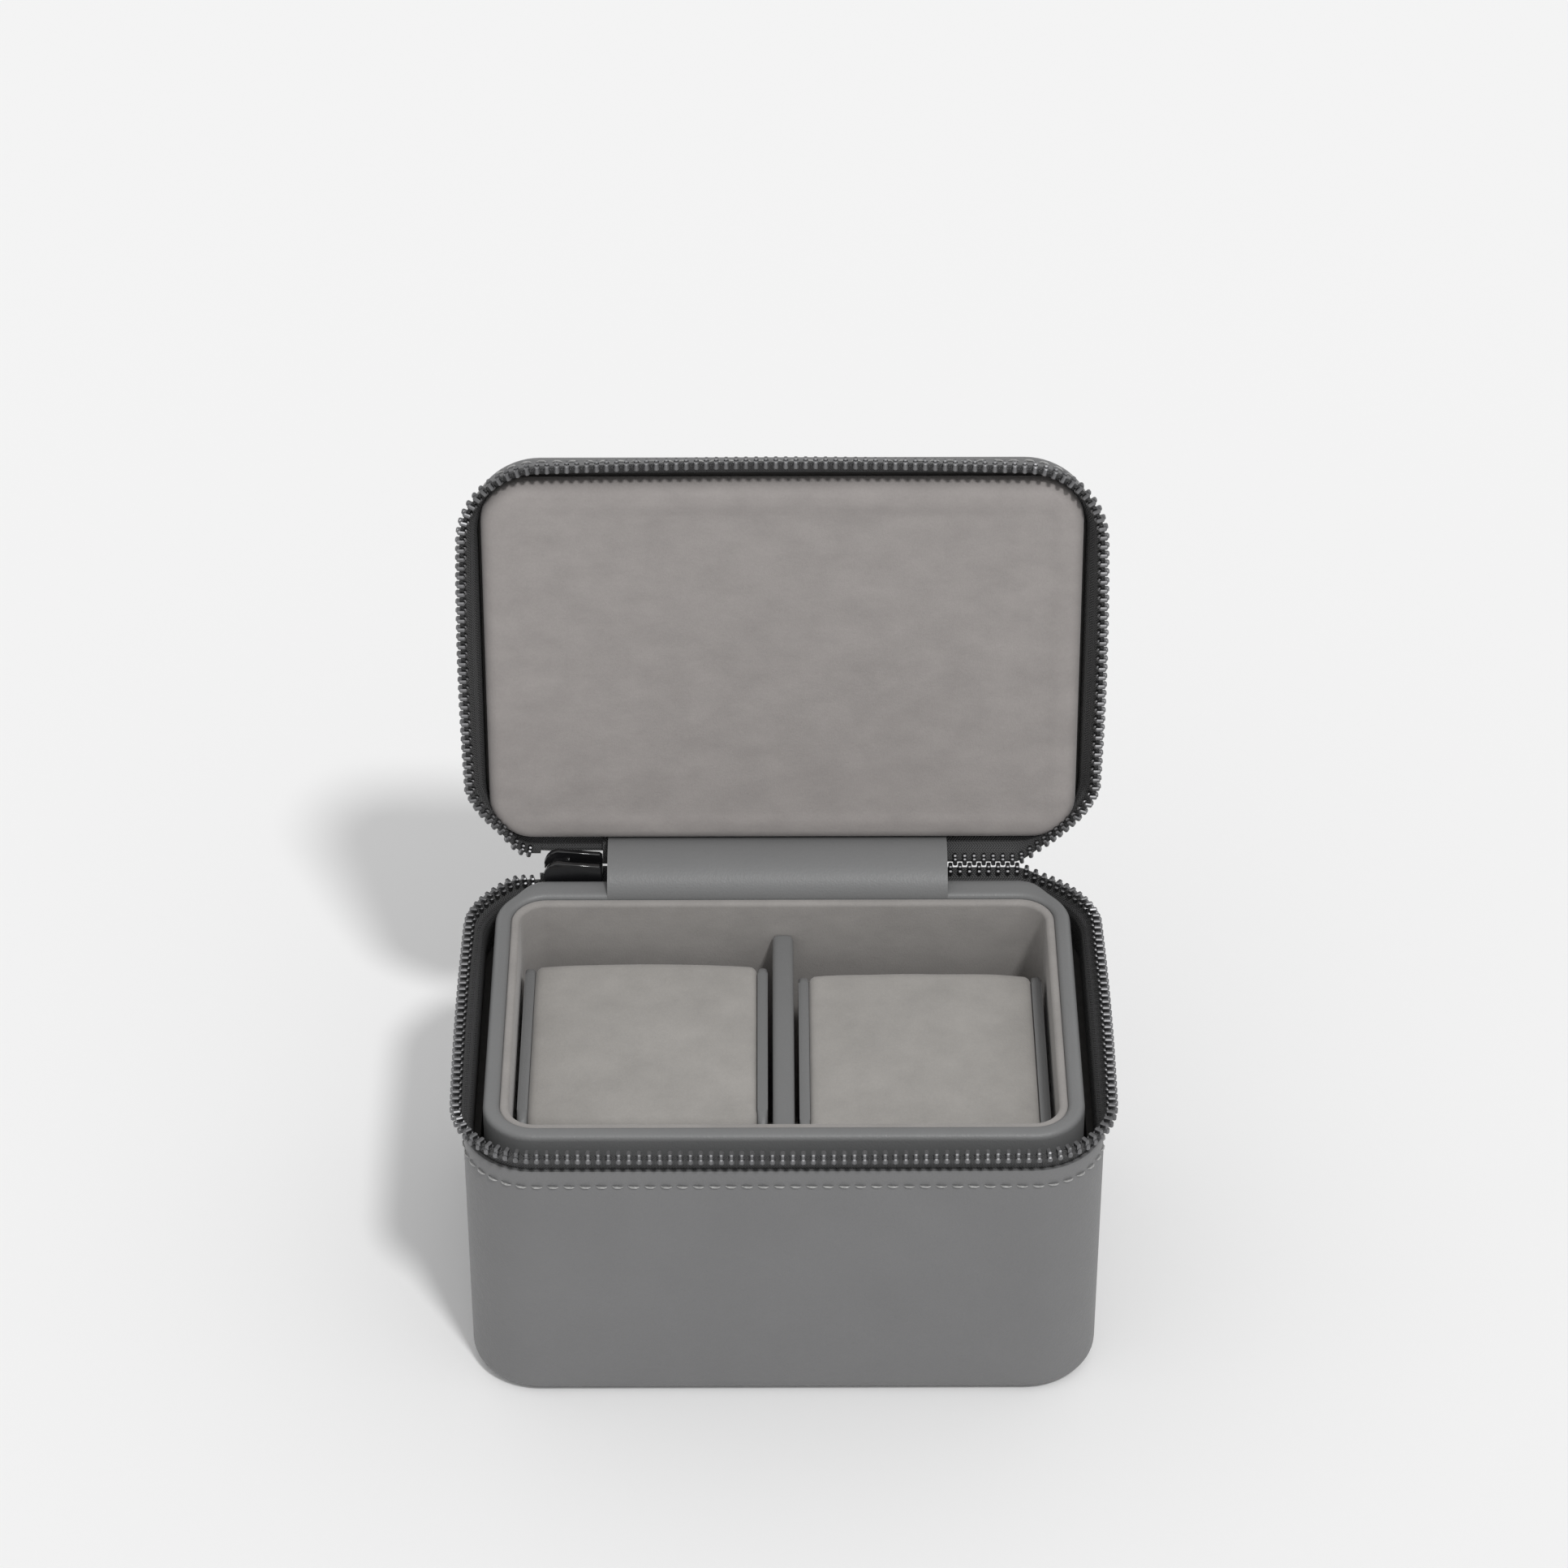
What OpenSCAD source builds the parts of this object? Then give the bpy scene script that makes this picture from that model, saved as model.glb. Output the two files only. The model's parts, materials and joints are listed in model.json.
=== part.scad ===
// Travel case for two wrist watches: a leather-covered box with a zipped lid,
// a lined inner tray, a divider and two lift-out cushions.
// The lid is drawn open, turned about the line where it meets the box at the back.
// X is the width, -Y the front, +Z up; the origin is the middle of the underside.

/* [Body] */
// Outside width of the leather box
body_w = 140; // [110:1:190]
// Outside depth of the leather box
body_d = 96; // [84:1:130]
// Height of the box up to its leather edge
body_h = 66; // [58:1:90]
// Corner radius of the box seen from above
body_r = 16; // [15:0.5:24]
// Thickness of the outer leather
leather_t = 1.2; // [0.8:0.1:1.6]
// Thickness of the stiff boards in the box
board_t = 2.2; // [1.5:0.1:2.4]
// Radius of the box's bottom edge
foot_r = 4; // [3:0.5:5]
// Width of the leather turned in under the box
turn_in = 6; // [4:0.5:8]

/* [Zip] */
// Height of the zip's meeting line above the leather edge
zip_rise = 7; // [6:0.5:9]
// How far the teeth stand out past the leather
zip_flare = 1; // [0.6:0.1:2.2]
// Thickness of the zip tape
tape_t = 0.7; // [0.5:0.1:0.8]
// Height of tape sewn behind the leather
tape_sewn = 7; // [5:0.5:9]
// Distance from one tooth to the next
tooth_pitch = 2.2; // [2:0.1:3]
// Length of a tooth along the tape
tooth_l = 1.1; // [0.8:0.1:1.4]
// Depth of a tooth across the tape
tooth_d = 2.6; // [2:0.1:3]
// Height of a tooth
tooth_h = 2.4; // [2:0.1:3]
// Gap between the two closed rows
tooth_gap = 0.2; // [0.1:0.05:0.4]

/* [Stitching] */
// Distance of the stitches from the leather edge
stitch_in = 4.3; // [3:0.1:6]
// Distance from one stitch to the next
stitch_pitch = 3.5; // [3:0.1:5]
// Length of a stitch
stitch_l = 2.4; // [1.8:0.1:2.6]
// Thickness of the thread
stitch_t = 0.45; // [0.3:0.05:0.6]

/* [Tray] */
// Distance from the box's outside to the tray's collar
collar_set = 4.5; // [4.4:0.1:7]
// Drop from the zip's meeting line to the top of the collar
collar_drop = 0.8; // [0.6:0.1:4]
// Thickness of the thin leather on the collar and divider
thin_leather_t = 0.8; // [0.6:0.1:1]
// Thickness of the tray's board
tray_board_t = 2; // [1.2:0.1:2.2]
// How far the collar's leather runs down
collar_wrap = 22; // [15:1:30]
// Thickness of the suede-covered lining
lining_t = 2; // [1.5:0.1:2.5]
// Drop from the collar to the lining's top edge
lining_drop = 0.8; // [0.4:0.1:2]
// Thickness of the divider
divider_t = 4.8; // [4:0.1:7]
// Drop from the lining's top edge to the divider
divider_drop = 8.5; // [5:0.5:15]

/* [Cushions] */
// Gap between a cushion and the walls beside it
cushion_side_gap = 1.1; // [1:0.1:3]
// Depth of a cushion, front to back
cushion_d = 58; // [45:1:59]
// Drop from the collar to the cushion's top
cushion_drop = 10.5; // [10:0.5:20]
// Thickness of the stiff plate on each end
plate_t = 2.3; // [1.5:0.1:3]
// How far the suede is drawn in at the plates
draw_in = 0.8; // [0.5:0.1:2.5]
// Thickness of the suede cover
cover_t = 1.2; // [0.8:0.1:1.6]
// How far the right cushion stands in front of the left one
right_step = 3.5; // [0:0.5:4]

/* [Lid] */
// Straight height of the lid's wall
lid_wall = 2; // [2:0.5:8]
// Radius of the lid's top edge
lid_r = 8; // [7:0.5:11]
// Thickness of the lid's moulded board
lid_board_t = 1.6; // [1.2:0.1:2]
// Distance from the lid's outside to its padded panel
panel_set = 2.7; // [2.6:0.1:3.4]
// Height of the padded panel above the zip's meeting line
panel_lift = 1.5; // [1:0.1:3]
// Depth of the padded panel's soft edge
panel_edge = 3.2; // [2.5:0.1:4]
// Thickness of the panel's stiff backing
panel_board_t = 1.5; // [1:0.1:2]
// How far the lid opens
lid_open = 98; // [95:1:115]

/* [Back strip] */
// Width of the leather strip that joins lid and box
strip_w = 78; // [60:1:82]
// Thickness of the strip
strip_t = 0.9; // [0.7:0.1:1]
// How far the outer strip runs down the box
strip_down = 14; // [10:1:25]

/* [Zip pull] */
// Length of the slider
slider_l = 13.5; // [12:0.5:15]
// Height of the slider
slider_h = 8; // [7:0.5:8.5]
// Thickness of each slider plate
slider_plate_t = 1.2; // [1:0.1:1.3]
// Free space between the strip and the slider
slider_gap = 2.5; // [2:0.5:4]
// Straight travel of the slider along the back
slider_travel = 4.5; // [3:0.5:6]
// Radius of the bar that the pull hangs on
bar_r = 0.8; // [0.6:0.05:0.9]
// Running clearance between the bar and the pull's eye
bar_play = 0.06; // [0.03:0.01:0.1]
// Length of the metal link
link_l = 9; // [7:0.5:12]
// Length of the leather tab
tab_l = 28; // [20:1:34]
// Width of the leather tab
tab_w = 8; // [6:0.5:10]

/* [Hidden] */
$fn = 64;
slack = 0.05;                        // glue line between pieces that lie against each other
soft_gap = 0.3;                      // clearance round a soft piece
half_w = body_w / 2;
half_d = body_d / 2;
zip_z = body_h + zip_rise;
zip_hx = half_w + zip_flare;
zip_hy = half_d + zip_flare;
zip_r = body_r + zip_flare;
hinge_y = zip_hy + tooth_d / 2 + soft_gap;
floor_z = leather_t + board_t;
collar_z = zip_z - collar_drop;
board_set = collar_set + thin_leather_t;
skin_set = board_set + tray_board_t;
lining_set = skin_set + thin_leather_t;
inner_set = lining_set + lining_t;
lining_z = collar_z - lining_drop;
room_z = floor_z + lining_t;
divider_z = lining_z - divider_drop;
inner_hx = half_w - inner_set;
inner_hy = half_d - inner_set;
cushion_w = inner_hx - divider_t / 2 - 2 * cushion_side_gap;
cushion_x = divider_t / 2 + cushion_side_gap + cushion_w / 2;
cushion_lo = room_z + soft_gap;
cushion_hi = collar_z - cushion_drop;
cushion_h = cushion_hi - cushion_lo;
cushion_mid = (cushion_hi + cushion_lo) / 2;
pillow_w = cushion_w - 2 * plate_t - 2 * slack;
lid_edge_z = zip_z + zip_rise;
lid_top_z = lid_edge_z + lid_wall + lid_r;
lid_under_z = lid_top_z - leather_t - tape_t - slack - lid_board_t;
panel_z = zip_z + panel_lift;
panel_back_z = panel_z + panel_edge;
slider_x = -(strip_w / 2 + slider_gap + slider_l / 2);
end_gap = 1;                         // free length where a tape or a tooth row stops
slider_free = strip_w / 2 + slider_gap + slider_l + slider_travel + end_gap;
jaw = tooth_d + 0.8;                 // free depth between the slider's plates
slider_face_y = zip_hy + jaw / 2 + slider_plate_t;
eye_wall = 0.9;
eye_r = bar_r + bar_play + eye_wall;
bar_y = slider_face_y + eye_r + soft_gap;
bar_z = zip_z - 1.4;
link_t = 1.4;
link_w = 5;
link_rim = 1;                        // metal round the slot of the link
tab_t = 1.8;

leather_grey = [0.47, 0.47, 0.47];
suede_grey = [0.58, 0.56, 0.55];
board_brown = [0.55, 0.45, 0.34];
tape_black = [0.12, 0.12, 0.12];
tooth_grey = [0.25, 0.25, 0.26];
foam_white = [0.85, 0.84, 0.78];
thread_grey = [0.7, 0.7, 0.7];

// Rounded rectangle from its half sizes and corner radius
module slab(hx, hy, r) {
    square([2 * hx, 2 * (hy - r)], center = true);
    square([2 * (hx - r), 2 * hy], center = true);
    for (sx = [-1, 1], sy = [-1, 1])
        translate([sx * (hx - r), sy * (hy - r)]) circle(r);
}

// The box's outline drawn in by a distance
module outline(set) {
    slab(half_w - set, half_d - set, body_r - set);
}

// Upright wall between two distances from the box's outside
module wall(set_out, set_in, z_lo, z_hi) {
    translate([0, 0, z_lo]) linear_extrude(z_hi - z_lo) difference() {
        outline(set_out);
        outline(set_in);
    }
}

module plate(set, z_lo, z_hi) {
    translate([0, 0, z_lo]) linear_extrude(z_hi - z_lo) outline(set);
}

// Carries a profile round the box: its x points outwards from the box's outside, its y up
module round_the_box() {
    for (side = [0, 180]) rotate([0, 0, side]) {
        translate([-(half_w - body_r), half_d, 0]) rotate([90, 0, 90])
            linear_extrude(2 * (half_w - body_r)) children();
        translate([half_w, half_d - body_r, 0]) rotate([90, 0, 0])
            linear_extrude(2 * (half_d - body_r)) children();
    }
    for (sx = [-1, 1], sy = [-1, 1])
        translate([sx * (half_w - body_r), sy * (half_d - body_r), 0])
            rotate([0, 0, sx > 0 ? (sy > 0 ? 0 : 270) : (sy > 0 ? 90 : 180)])
                rotate_extrude(angle = 90) translate([body_r, 0]) children();
}

// Quarter ring in the lower right, its centre at the origin
module quarter_ring(r_out, r_in) {
    intersection() {
        difference() {
            circle(r_out);
            circle(r_in);
        }
        translate([0, -r_out]) square(r_out);
    }
}

// Turns a piece that is drawn on the closed lid to the open lid
module opened() {
    translate([0, hinge_y, zip_z]) rotate([-lid_open, 0, 0]) translate([0, -hinge_y, -zip_z]) children();
}

// Place on a rounded rectangle, [x, y, angle], at a length from the middle of its back towards +X
function along(s, hx, hy, r) =
    let (a = hx - r, b = hy - r, q = PI * r / 2)
    s < a ? [s, hy, 0] :
    s < a + q ? let (t = (s - a) / r * 180 / PI) [a + r * sin(t), b + r * cos(t), -t] :
    s < a + q + 2 * b ? [hx, b - (s - a - q), -90] :
    s < a + 2 * q + 2 * b ? let (t = (s - a - q - 2 * b) / r * 180 / PI) [a + r * cos(t), -b - r * sin(t), -90 - t] :
    s < 3 * a + 2 * q + 2 * b ? [a - (s - a - 2 * q - 2 * b), -hy, -180] :
    s < 3 * a + 3 * q + 2 * b ? let (t = (s - 3 * a - 2 * q - 2 * b) / r * 180 / PI) [-a - r * sin(t), -b - r * cos(t), -180 - t] :
    s < 3 * a + 3 * q + 4 * b ? [-hx, -b + (s - 3 * a - 3 * q - 2 * b), -270] :
    s < 3 * a + 4 * q + 4 * b ? let (t = (s - 3 * a - 3 * q - 4 * b) / r * 180 / PI) [-a - r * cos(t), b + r * sin(t), -270 - t] :
    [-a + (s - 3 * a - 4 * q - 4 * b), hy, -360];

function loop_length(hx, hy, r) = 4 * (hx - r) + 4 * (hy - r) + 2 * PI * r;

// Box

module base_side_leather() {
    color(leather_grey) round_the_box() {
        translate([-leather_t, foot_r]) square([leather_t, body_h - foot_r]);
        translate([-foot_r, foot_r]) quarter_ring(foot_r, foot_r - leather_t);
        translate([-foot_r - turn_in, 0]) square([turn_in, leather_t]);
    }
}

module base_bottom_leather() {
    color(leather_grey) plate(foot_r + turn_in + slack, 0, leather_t);
}

module base_side_board() {
    color(board_brown) wall(leather_t + slack, leather_t + board_t, foot_r, body_h - tape_sewn - slack);
}

module base_bottom_board() {
    color(board_brown) plate(foot_r, leather_t, floor_z);
}

// One half of the zip tape: sewn behind the leather, then leaning out to the teeth
module tape_profile(sewn) {
    low = body_h - sewn;
    bend = body_h + slack * 6;
    top = zip_z - tooth_gap / 2 - tooth_h;
    polygon([[-leather_t - tape_t, low], [-leather_t - slack, low], [-leather_t - slack, bend],
        [zip_flare + tape_t / 2, top], [zip_flare - tape_t / 2, top], [-leather_t - tape_t, bend + tape_t / 2]]);
}

// Space kept free of tape at the back, between two places across the width
module tape_space(from_x, to_x) {
    margin = 1;
    translate([from_x, half_d - leather_t - tape_t - margin, body_h - slack])
        cube([to_x - from_x, 2 * tooth_d + leather_t + zip_flare + margin, zip_rise]);
}

// Zip tape that stays clear of the strip and of the slider's way, up to a place across the width
module zip_tape(sewn, slider_way_end) {
    difference() {
        round_the_box() tape_profile(sewn);
        tape_space(-strip_w / 2 - end_gap, strip_w / 2 + end_gap);
        tape_space(-slider_free, slider_way_end);
    }
}

module tooth_row(shift) {
    start = strip_w / 2 + end_gap + tooth_l + shift;
    end = loop_length(zip_hx, zip_hy, zip_r) - slider_free - tooth_l;
    for (s = [start : tooth_pitch : end]) {
        p = along(s, zip_hx, zip_hy, zip_r);
        translate([p[0], p[1], zip_z - tooth_gap / 2 - tooth_h / 2]) rotate([0, 0, p[2]])
            cube([tooth_l, tooth_d, tooth_h], center = true);
    }
}

module stitch_row(z) {
    reach = stitch_t / 2 + slack;
    hx = half_w + reach;
    hy = half_d + reach;
    r = body_r + reach;
    for (s = [stitch_pitch : stitch_pitch : loop_length(hx, hy, r) - stitch_pitch / 2]) {
        p = along(s, hx, hy, r);
        behind_strip = p[1] > half_d && abs(p[0]) < strip_w / 2 + stitch_l;
        if (!behind_strip)
            translate([p[0], p[1], z]) rotate([0, 0, p[2]])
                cube([stitch_l, stitch_t, stitch_t], center = true);
    }
}

module base_zip_tape() {
    // The slider rides on the straight stretch of this tape
    color(tape_black) zip_tape(tape_sewn, body_r - half_w);
}

module base_zip_teeth() {
    color(tooth_grey) tooth_row(0);
}

module base_stitches() {
    color(thread_grey) stitch_row(body_h - stitch_in);
}

// Tray

module tray_board() {
    color(board_brown) wall(board_set, skin_set, floor_z, collar_z - thin_leather_t);
}

module tray_collar_leather() {
    low = collar_z - collar_wrap;
    color(leather_grey) difference() {
        wall(collar_set, lining_set, low, collar_z);
        wall(board_set, skin_set, low - 1, collar_z - thin_leather_t);
    }
}

module tray_wall_lining() {
    color(suede_grey) wall(lining_set, inner_set, room_z, lining_z);
}

module tray_floor_lining() {
    color(suede_grey) plate(lining_set, floor_z, room_z);
}

module divider_board() {
    t = divider_t - 2 * thin_leather_t;
    color(board_brown) translate([-t / 2, -inner_hy, room_z])
        cube([t, 2 * inner_hy, divider_z - thin_leather_t - room_z]);
}

module divider_leather() {
    t = divider_t - 2 * thin_leather_t;
    color(leather_grey) difference() {
        translate([-divider_t / 2, -inner_hy, room_z])
            cube([divider_t, 2 * inner_hy, divider_z - room_z]);
        translate([-t / 2, -inner_hy - 1, room_z - 1])
            cube([t, 2 * inner_hy + 2, divider_z - thin_leather_t - room_z + 1]);
    }
}

// Cushions

pillow_steps = 8;
pillow_sides = 32;
// Share of the full size at a place across the cushion, 0 at an end and 1 in the middle
function swell(u) = 1 - pow(abs(2 * u - 1), 2.6);
// Cosine or sine drawn towards a soft square
function squared(v) = sign(v) * pow(abs(v), 0.2);
// Closed roll with a soft square section, crowned in the middle and drawn in at its ends
module pillow(w, d, h, drawn) {
    points = [for (i = [0 : pillow_steps], k = [0 : pillow_sides - 1])
        let (u = i / pillow_steps, s = drawn * (1 - swell(u)), t = 360 * k / pillow_sides)
        [w * (u - 0.5), (d / 2 - s) * squared(cos(t)), (h / 2 - s) * squared(sin(t))]];
    last = pillow_steps * pillow_sides;
    rings = [for (i = [0 : pillow_steps - 1], k = [0 : pillow_sides - 1])
        let (a = i * pillow_sides + k, b = i * pillow_sides + (k + 1) % pillow_sides)
        each [[a, a + pillow_sides, b], [b, a + pillow_sides, b + pillow_sides]]];
    ends = [for (k = [1 : pillow_sides - 2]) each [[0, k, k + 1], [last, last + k + 1, last + k]]];
    polyhedron(points, concat(rings, ends), convexity = 4);
}

module cushion_place(side) {
    translate([side * cushion_x, -side * right_step / 2, cushion_mid]) children();
}

module cushion_cover(side) {
    color(suede_grey) cushion_place(side) difference() {
        pillow(pillow_w, cushion_d, cushion_h, draw_in);
        pillow(pillow_w - 2 * cover_t, cushion_d - 2 * cover_t, cushion_h - 2 * cover_t, draw_in);
    }
}

module cushion_foam(side) {
    inset = cover_t + slack;
    color(foam_white) cushion_place(side)
        pillow(pillow_w - 2 * inset, cushion_d - 2 * inset, cushion_h - 2 * inset, draw_in);
}

module cushion_plate(side, end) {
    corner = 5;
    hy = cushion_d / 2 - draw_in / 2;
    hz = cushion_h / 2 - draw_in / 2;
    color(leather_grey) cushion_place(side)
        translate([end * (cushion_w / 2 - plate_t / 2) - plate_t / 2, 0, 0])
            rotate([90, 0, 90]) linear_extrude(plate_t) slab(hy, hz, corner);
}

module left_cushion_cover() cushion_cover(-1);
module left_cushion_foam() cushion_foam(-1);
module left_cushion_outer_plate() cushion_plate(-1, -1);
module left_cushion_inner_plate() cushion_plate(-1, 1);
module right_cushion_cover() cushion_cover(1);
module right_cushion_foam() cushion_foam(1);
module right_cushion_outer_plate() cushion_plate(1, 1);
module right_cushion_inner_plate() cushion_plate(1, -1);

// Lid, drawn closed and then opened

top_lap = 1;                         // how far the rounded edge runs on into the flat top
// Shell with a rounded top edge: a wall, a quarter round and a flat top
module lid_shell(set, t, z_lo, z_hi, r) {
    round_the_box() {
        translate([-set - t, z_lo]) square([t, z_hi - r - z_lo]);
        translate([-set - r, z_hi - r]) mirror([0, 1]) quarter_ring(r, r - t);
        translate([-set - r - top_lap, z_hi - t]) square([top_lap, t]);
    }
    plate(set + r, z_hi - t, z_hi);
}

module lid_leather() {
    color(leather_grey) opened() lid_shell(0, leather_t, lid_edge_z, lid_top_z, lid_r);
}

module lid_board() {
    set = leather_t + tape_t + slack;
    color(board_brown) opened() lid_shell(set, lid_board_t, lid_edge_z + end_gap, lid_top_z - set, lid_r - set);
}

module mirrored_zip() {
    translate([0, 0, 2 * zip_z]) mirror([0, 0, 1]) children();
}

module lid_zip_tape() {
    color(tape_black) opened() mirrored_zip() zip_tape(lid_wall, -strip_w / 2);
}

module lid_zip_teeth() {
    color(tooth_grey) opened() mirrored_zip() tooth_row(tooth_pitch / 2);
}

module lid_stitches() {
    color(thread_grey) opened() stitch_row(lid_edge_z + lid_wall - stitch_t / 2);
}

pad_rings = 4;
pad_corner_steps = 8;
// Point on a rounded rectangle, its corners cut into steps
function pad_point(k, hx, hy, r) =
    let (c = floor(k / (pad_corner_steps + 1)), t = 90 * c + 90 * (k % (pad_corner_steps + 1)) / pad_corner_steps)
    [((c == 0 || c == 3) ? 1 : -1) * (hx - r) + r * cos(t), (c < 2 ? 1 : -1) * (hy - r) + r * sin(t)];
// Pad with a flat back at the top and a soft round edge below, from its half sizes
module pad(hx, hy, r, h, soft) {
    n = 4 * (pad_corner_steps + 1);
    levels = concat([[0, h]], [for (i = [0 : pad_rings]) let (t = 90 * i / pad_rings)
        [soft * (1 - cos(t)), soft * (1 - sin(t))]]);
    points = [for (l = levels, k = [0 : n - 1])
        concat(pad_point(k, hx - l[0], hy - l[0], r - l[0] * 0.8), [l[1]])];
    last = len(levels) - 1;
    rings = [for (i = [0 : last - 1], k = [0 : n - 1])
        let (a = i * n + k, b = i * n + (k + 1) % n)
        each [[a, b, a + n], [b, b + n, a + n]]];
    ends = [for (k = [1 : n - 2]) each [[0, k + 1, k], [last * n, last * n + k, last * n + k + 1]]];
    polyhedron(points, concat(rings, ends), convexity = 4);
}

module panel_form(inset, h) {
    translate([0, 0, panel_z + inset])
        pad(half_w - panel_set - inset, half_d - panel_set - inset, body_r - panel_set - inset, h, panel_edge - inset);
}

module lid_panel_suede() {
    color(suede_grey) opened() difference() {
        panel_form(0, panel_edge + 2);
        panel_form(cover_t, panel_edge + 3);
    }
}

module lid_panel_foam() {
    inset = cover_t + slack;
    color(foam_white) opened() panel_form(inset, panel_edge - inset + slack);
}

module lid_panel_board() {
    color(board_brown) opened()
        plate(panel_set + cover_t + slack, panel_back_z + 2 * slack, panel_back_z + 2 * slack + panel_board_t);
}

module lid_filler_foam() {
    color(foam_white) opened() plate(lid_r + slack, panel_back_z + panel_board_t + 4 * slack, lid_under_z - slack);
}

// Back strip

// Point of the closed lid, [y, z], turned open
function lid_open_point(p) =
    let (y = p[0] - hinge_y, z = p[1] - zip_z)
    [hinge_y + y * cos(lid_open) + z * sin(lid_open), zip_z - y * sin(lid_open) + z * cos(lid_open)];

// Point of a smooth curve through four corners
function curve(p, t) = pow(1 - t, 3) * p[0] + 3 * pow(1 - t, 2) * t * p[1] + 3 * (1 - t) * t * t * p[2] + pow(t, 3) * p[3];

// Strip of even thickness along a line of [y, z] points, as wide as the strip
module strip(line) {
    n = len(line);
    normals = [for (i = [0 : n - 1])
        let (d = line[min(i + 1, n - 1)] - line[max(i - 1, 0)]) [-d[1], d[0]] / norm(d) * strip_t / 2];
    outline = concat([for (i = [0 : n - 1]) line[i] + normals[i]],
        [for (i = [n - 1 : -1 : 0]) line[i] - normals[i]]);
    translate([-strip_w / 2, 0, 0]) rotate([90, 0, 90]) linear_extrude(strip_w) polygon(outline);
}

strip_steps = 14;
strip_bow = 2.2;                     // how far the inner strip sags before it turns up to the lid
strip_lead = 3;                      // straight run of the inner strip past the collar
outer_lead = 5;                      // straight run of the outer strip past each leather edge

module hinge_strip_inner() {
    rest_z = collar_z + strip_t / 2 + slack;
    front = [half_d - lining_set, rest_z];
    over = [half_d - collar_set, rest_z];
    edge_y = half_d - panel_set + strip_t / 2 + slack * 2;
    top = lid_open_point([edge_y, panel_z + panel_edge / 2]);
    tuck = lid_open_point([edge_y, panel_z + panel_edge + 1]);
    color(leather_grey) strip(concat([front],
        [for (i = [0 : strip_steps]) curve([over, over + [strip_lead, 0], top - strip_bow * (tuck - top), top], i / strip_steps)], [tuck]));
}

module hinge_strip_outer() {
    wall_y = half_d + strip_t / 2 + slack;
    foot = [wall_y, body_h - strip_down];
    edge = [wall_y, body_h];
    lid_edge = lid_open_point([wall_y, lid_edge_z]);
    lid_end = lid_open_point([wall_y, lid_edge_z + lid_wall]);
    along_lid = (lid_end - lid_edge) / norm(lid_end - lid_edge);
    color(leather_grey) strip(concat([foot],
        [for (i = [0 : strip_steps]) curve([edge, edge + [0, outer_lead], lid_edge - outer_lead * along_lid, lid_edge], i / strip_steps)],
        [lid_end]));
}

// Slider and pull

module zip_slider() {
    nose = slider_h / 2;
    nose_x = slider_x - slider_l / 2 + nose;
    tail_in = 1;
    neck_l = 4;
    neck_h = 2.4;
    ear_t = 1.2;
    ear_r = 1.4;
    ear_x = link_w / 2 + soft_gap + ear_t / 2;
    color(tape_black) {
        for (face = [-1, 1])
            translate([0, zip_hy + face * (jaw + slider_plate_t) / 2 + slider_plate_t / 2, zip_z])
                rotate([90, 0, 0]) linear_extrude(slider_plate_t) {
                    translate([nose_x, 0]) circle(nose);
                    translate([nose_x, -nose + tail_in]) square([slider_l - nose, 2 * (nose - tail_in)]);
                }
        translate([nose_x - neck_l / 2, zip_hy - jaw / 2 - slack, zip_z - neck_h / 2])
            cube([neck_l, jaw + 2 * slack, neck_h]);
        for (end = [-1, 1])
            translate([slider_x + end * ear_x - ear_t / 2, 0, 0])
                rotate([90, 0, 90]) linear_extrude(ear_t) {
                    translate([bar_y, bar_z]) circle(ear_r);
                    translate([slider_face_y - slack, bar_z - ear_r])
                        square([bar_y - slider_face_y + slack, 2 * ear_r]);
                }
        translate([slider_x - ear_x, bar_y, bar_z]) rotate([0, 90, 0]) cylinder(r = bar_r, h = 2 * ear_x);
    }
}

module pull_link() {
    slot_h = 2;
    color(tooth_grey) difference() {
        union() {
            translate([slider_x - link_w / 2, bar_y, bar_z]) rotate([0, 90, 0]) cylinder(r = eye_r, h = link_w);
            translate([slider_x - link_w / 2, bar_y - link_t / 2, bar_z - link_l]) cube([link_w, link_t, link_l]);
        }
        translate([slider_x - link_w, bar_y, bar_z]) rotate([0, 90, 0]) cylinder(r = bar_r + bar_play, h = 2 * link_w);
        translate([slider_x - link_w / 2 + link_rim, bar_y - link_t, bar_z - link_l + link_rim])
            cube([link_w - 2 * link_rim, 2 * link_t, slot_h]);
    }
}

// Leather tab with a tongue that loops through the slot of the link
module pull_tab() {
    tongue_gap = 0.15;
    tongue_w = link_w - 2 * link_rim - 2 * tongue_gap;
    tongue_t = 0.7;
    tongue_sewn = 3;
    loop_h = 1.1;
    below = 0.4;
    top_z = bar_z - link_l - below;
    rise = below + link_rim + tongue_gap + loop_h;
    color(leather_grey) {
        translate([slider_x - tab_w / 2, bar_y - tab_t / 2, top_z - tab_l]) cube([tab_w, tab_t, tab_l]);
        for (face = [-1, 1])
            translate([slider_x - tongue_w / 2, bar_y + face * (link_t / 2 + tongue_gap + tongue_t / 2) - tongue_t / 2,
                top_z - tongue_sewn]) cube([tongue_w, tongue_t, rise + tongue_sewn]);
        translate([slider_x - tongue_w / 2, bar_y - link_t / 2 - tongue_gap, top_z + rise - loop_h])
            cube([tongue_w, link_t + 2 * tongue_gap, loop_h]);
    }
}

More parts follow.
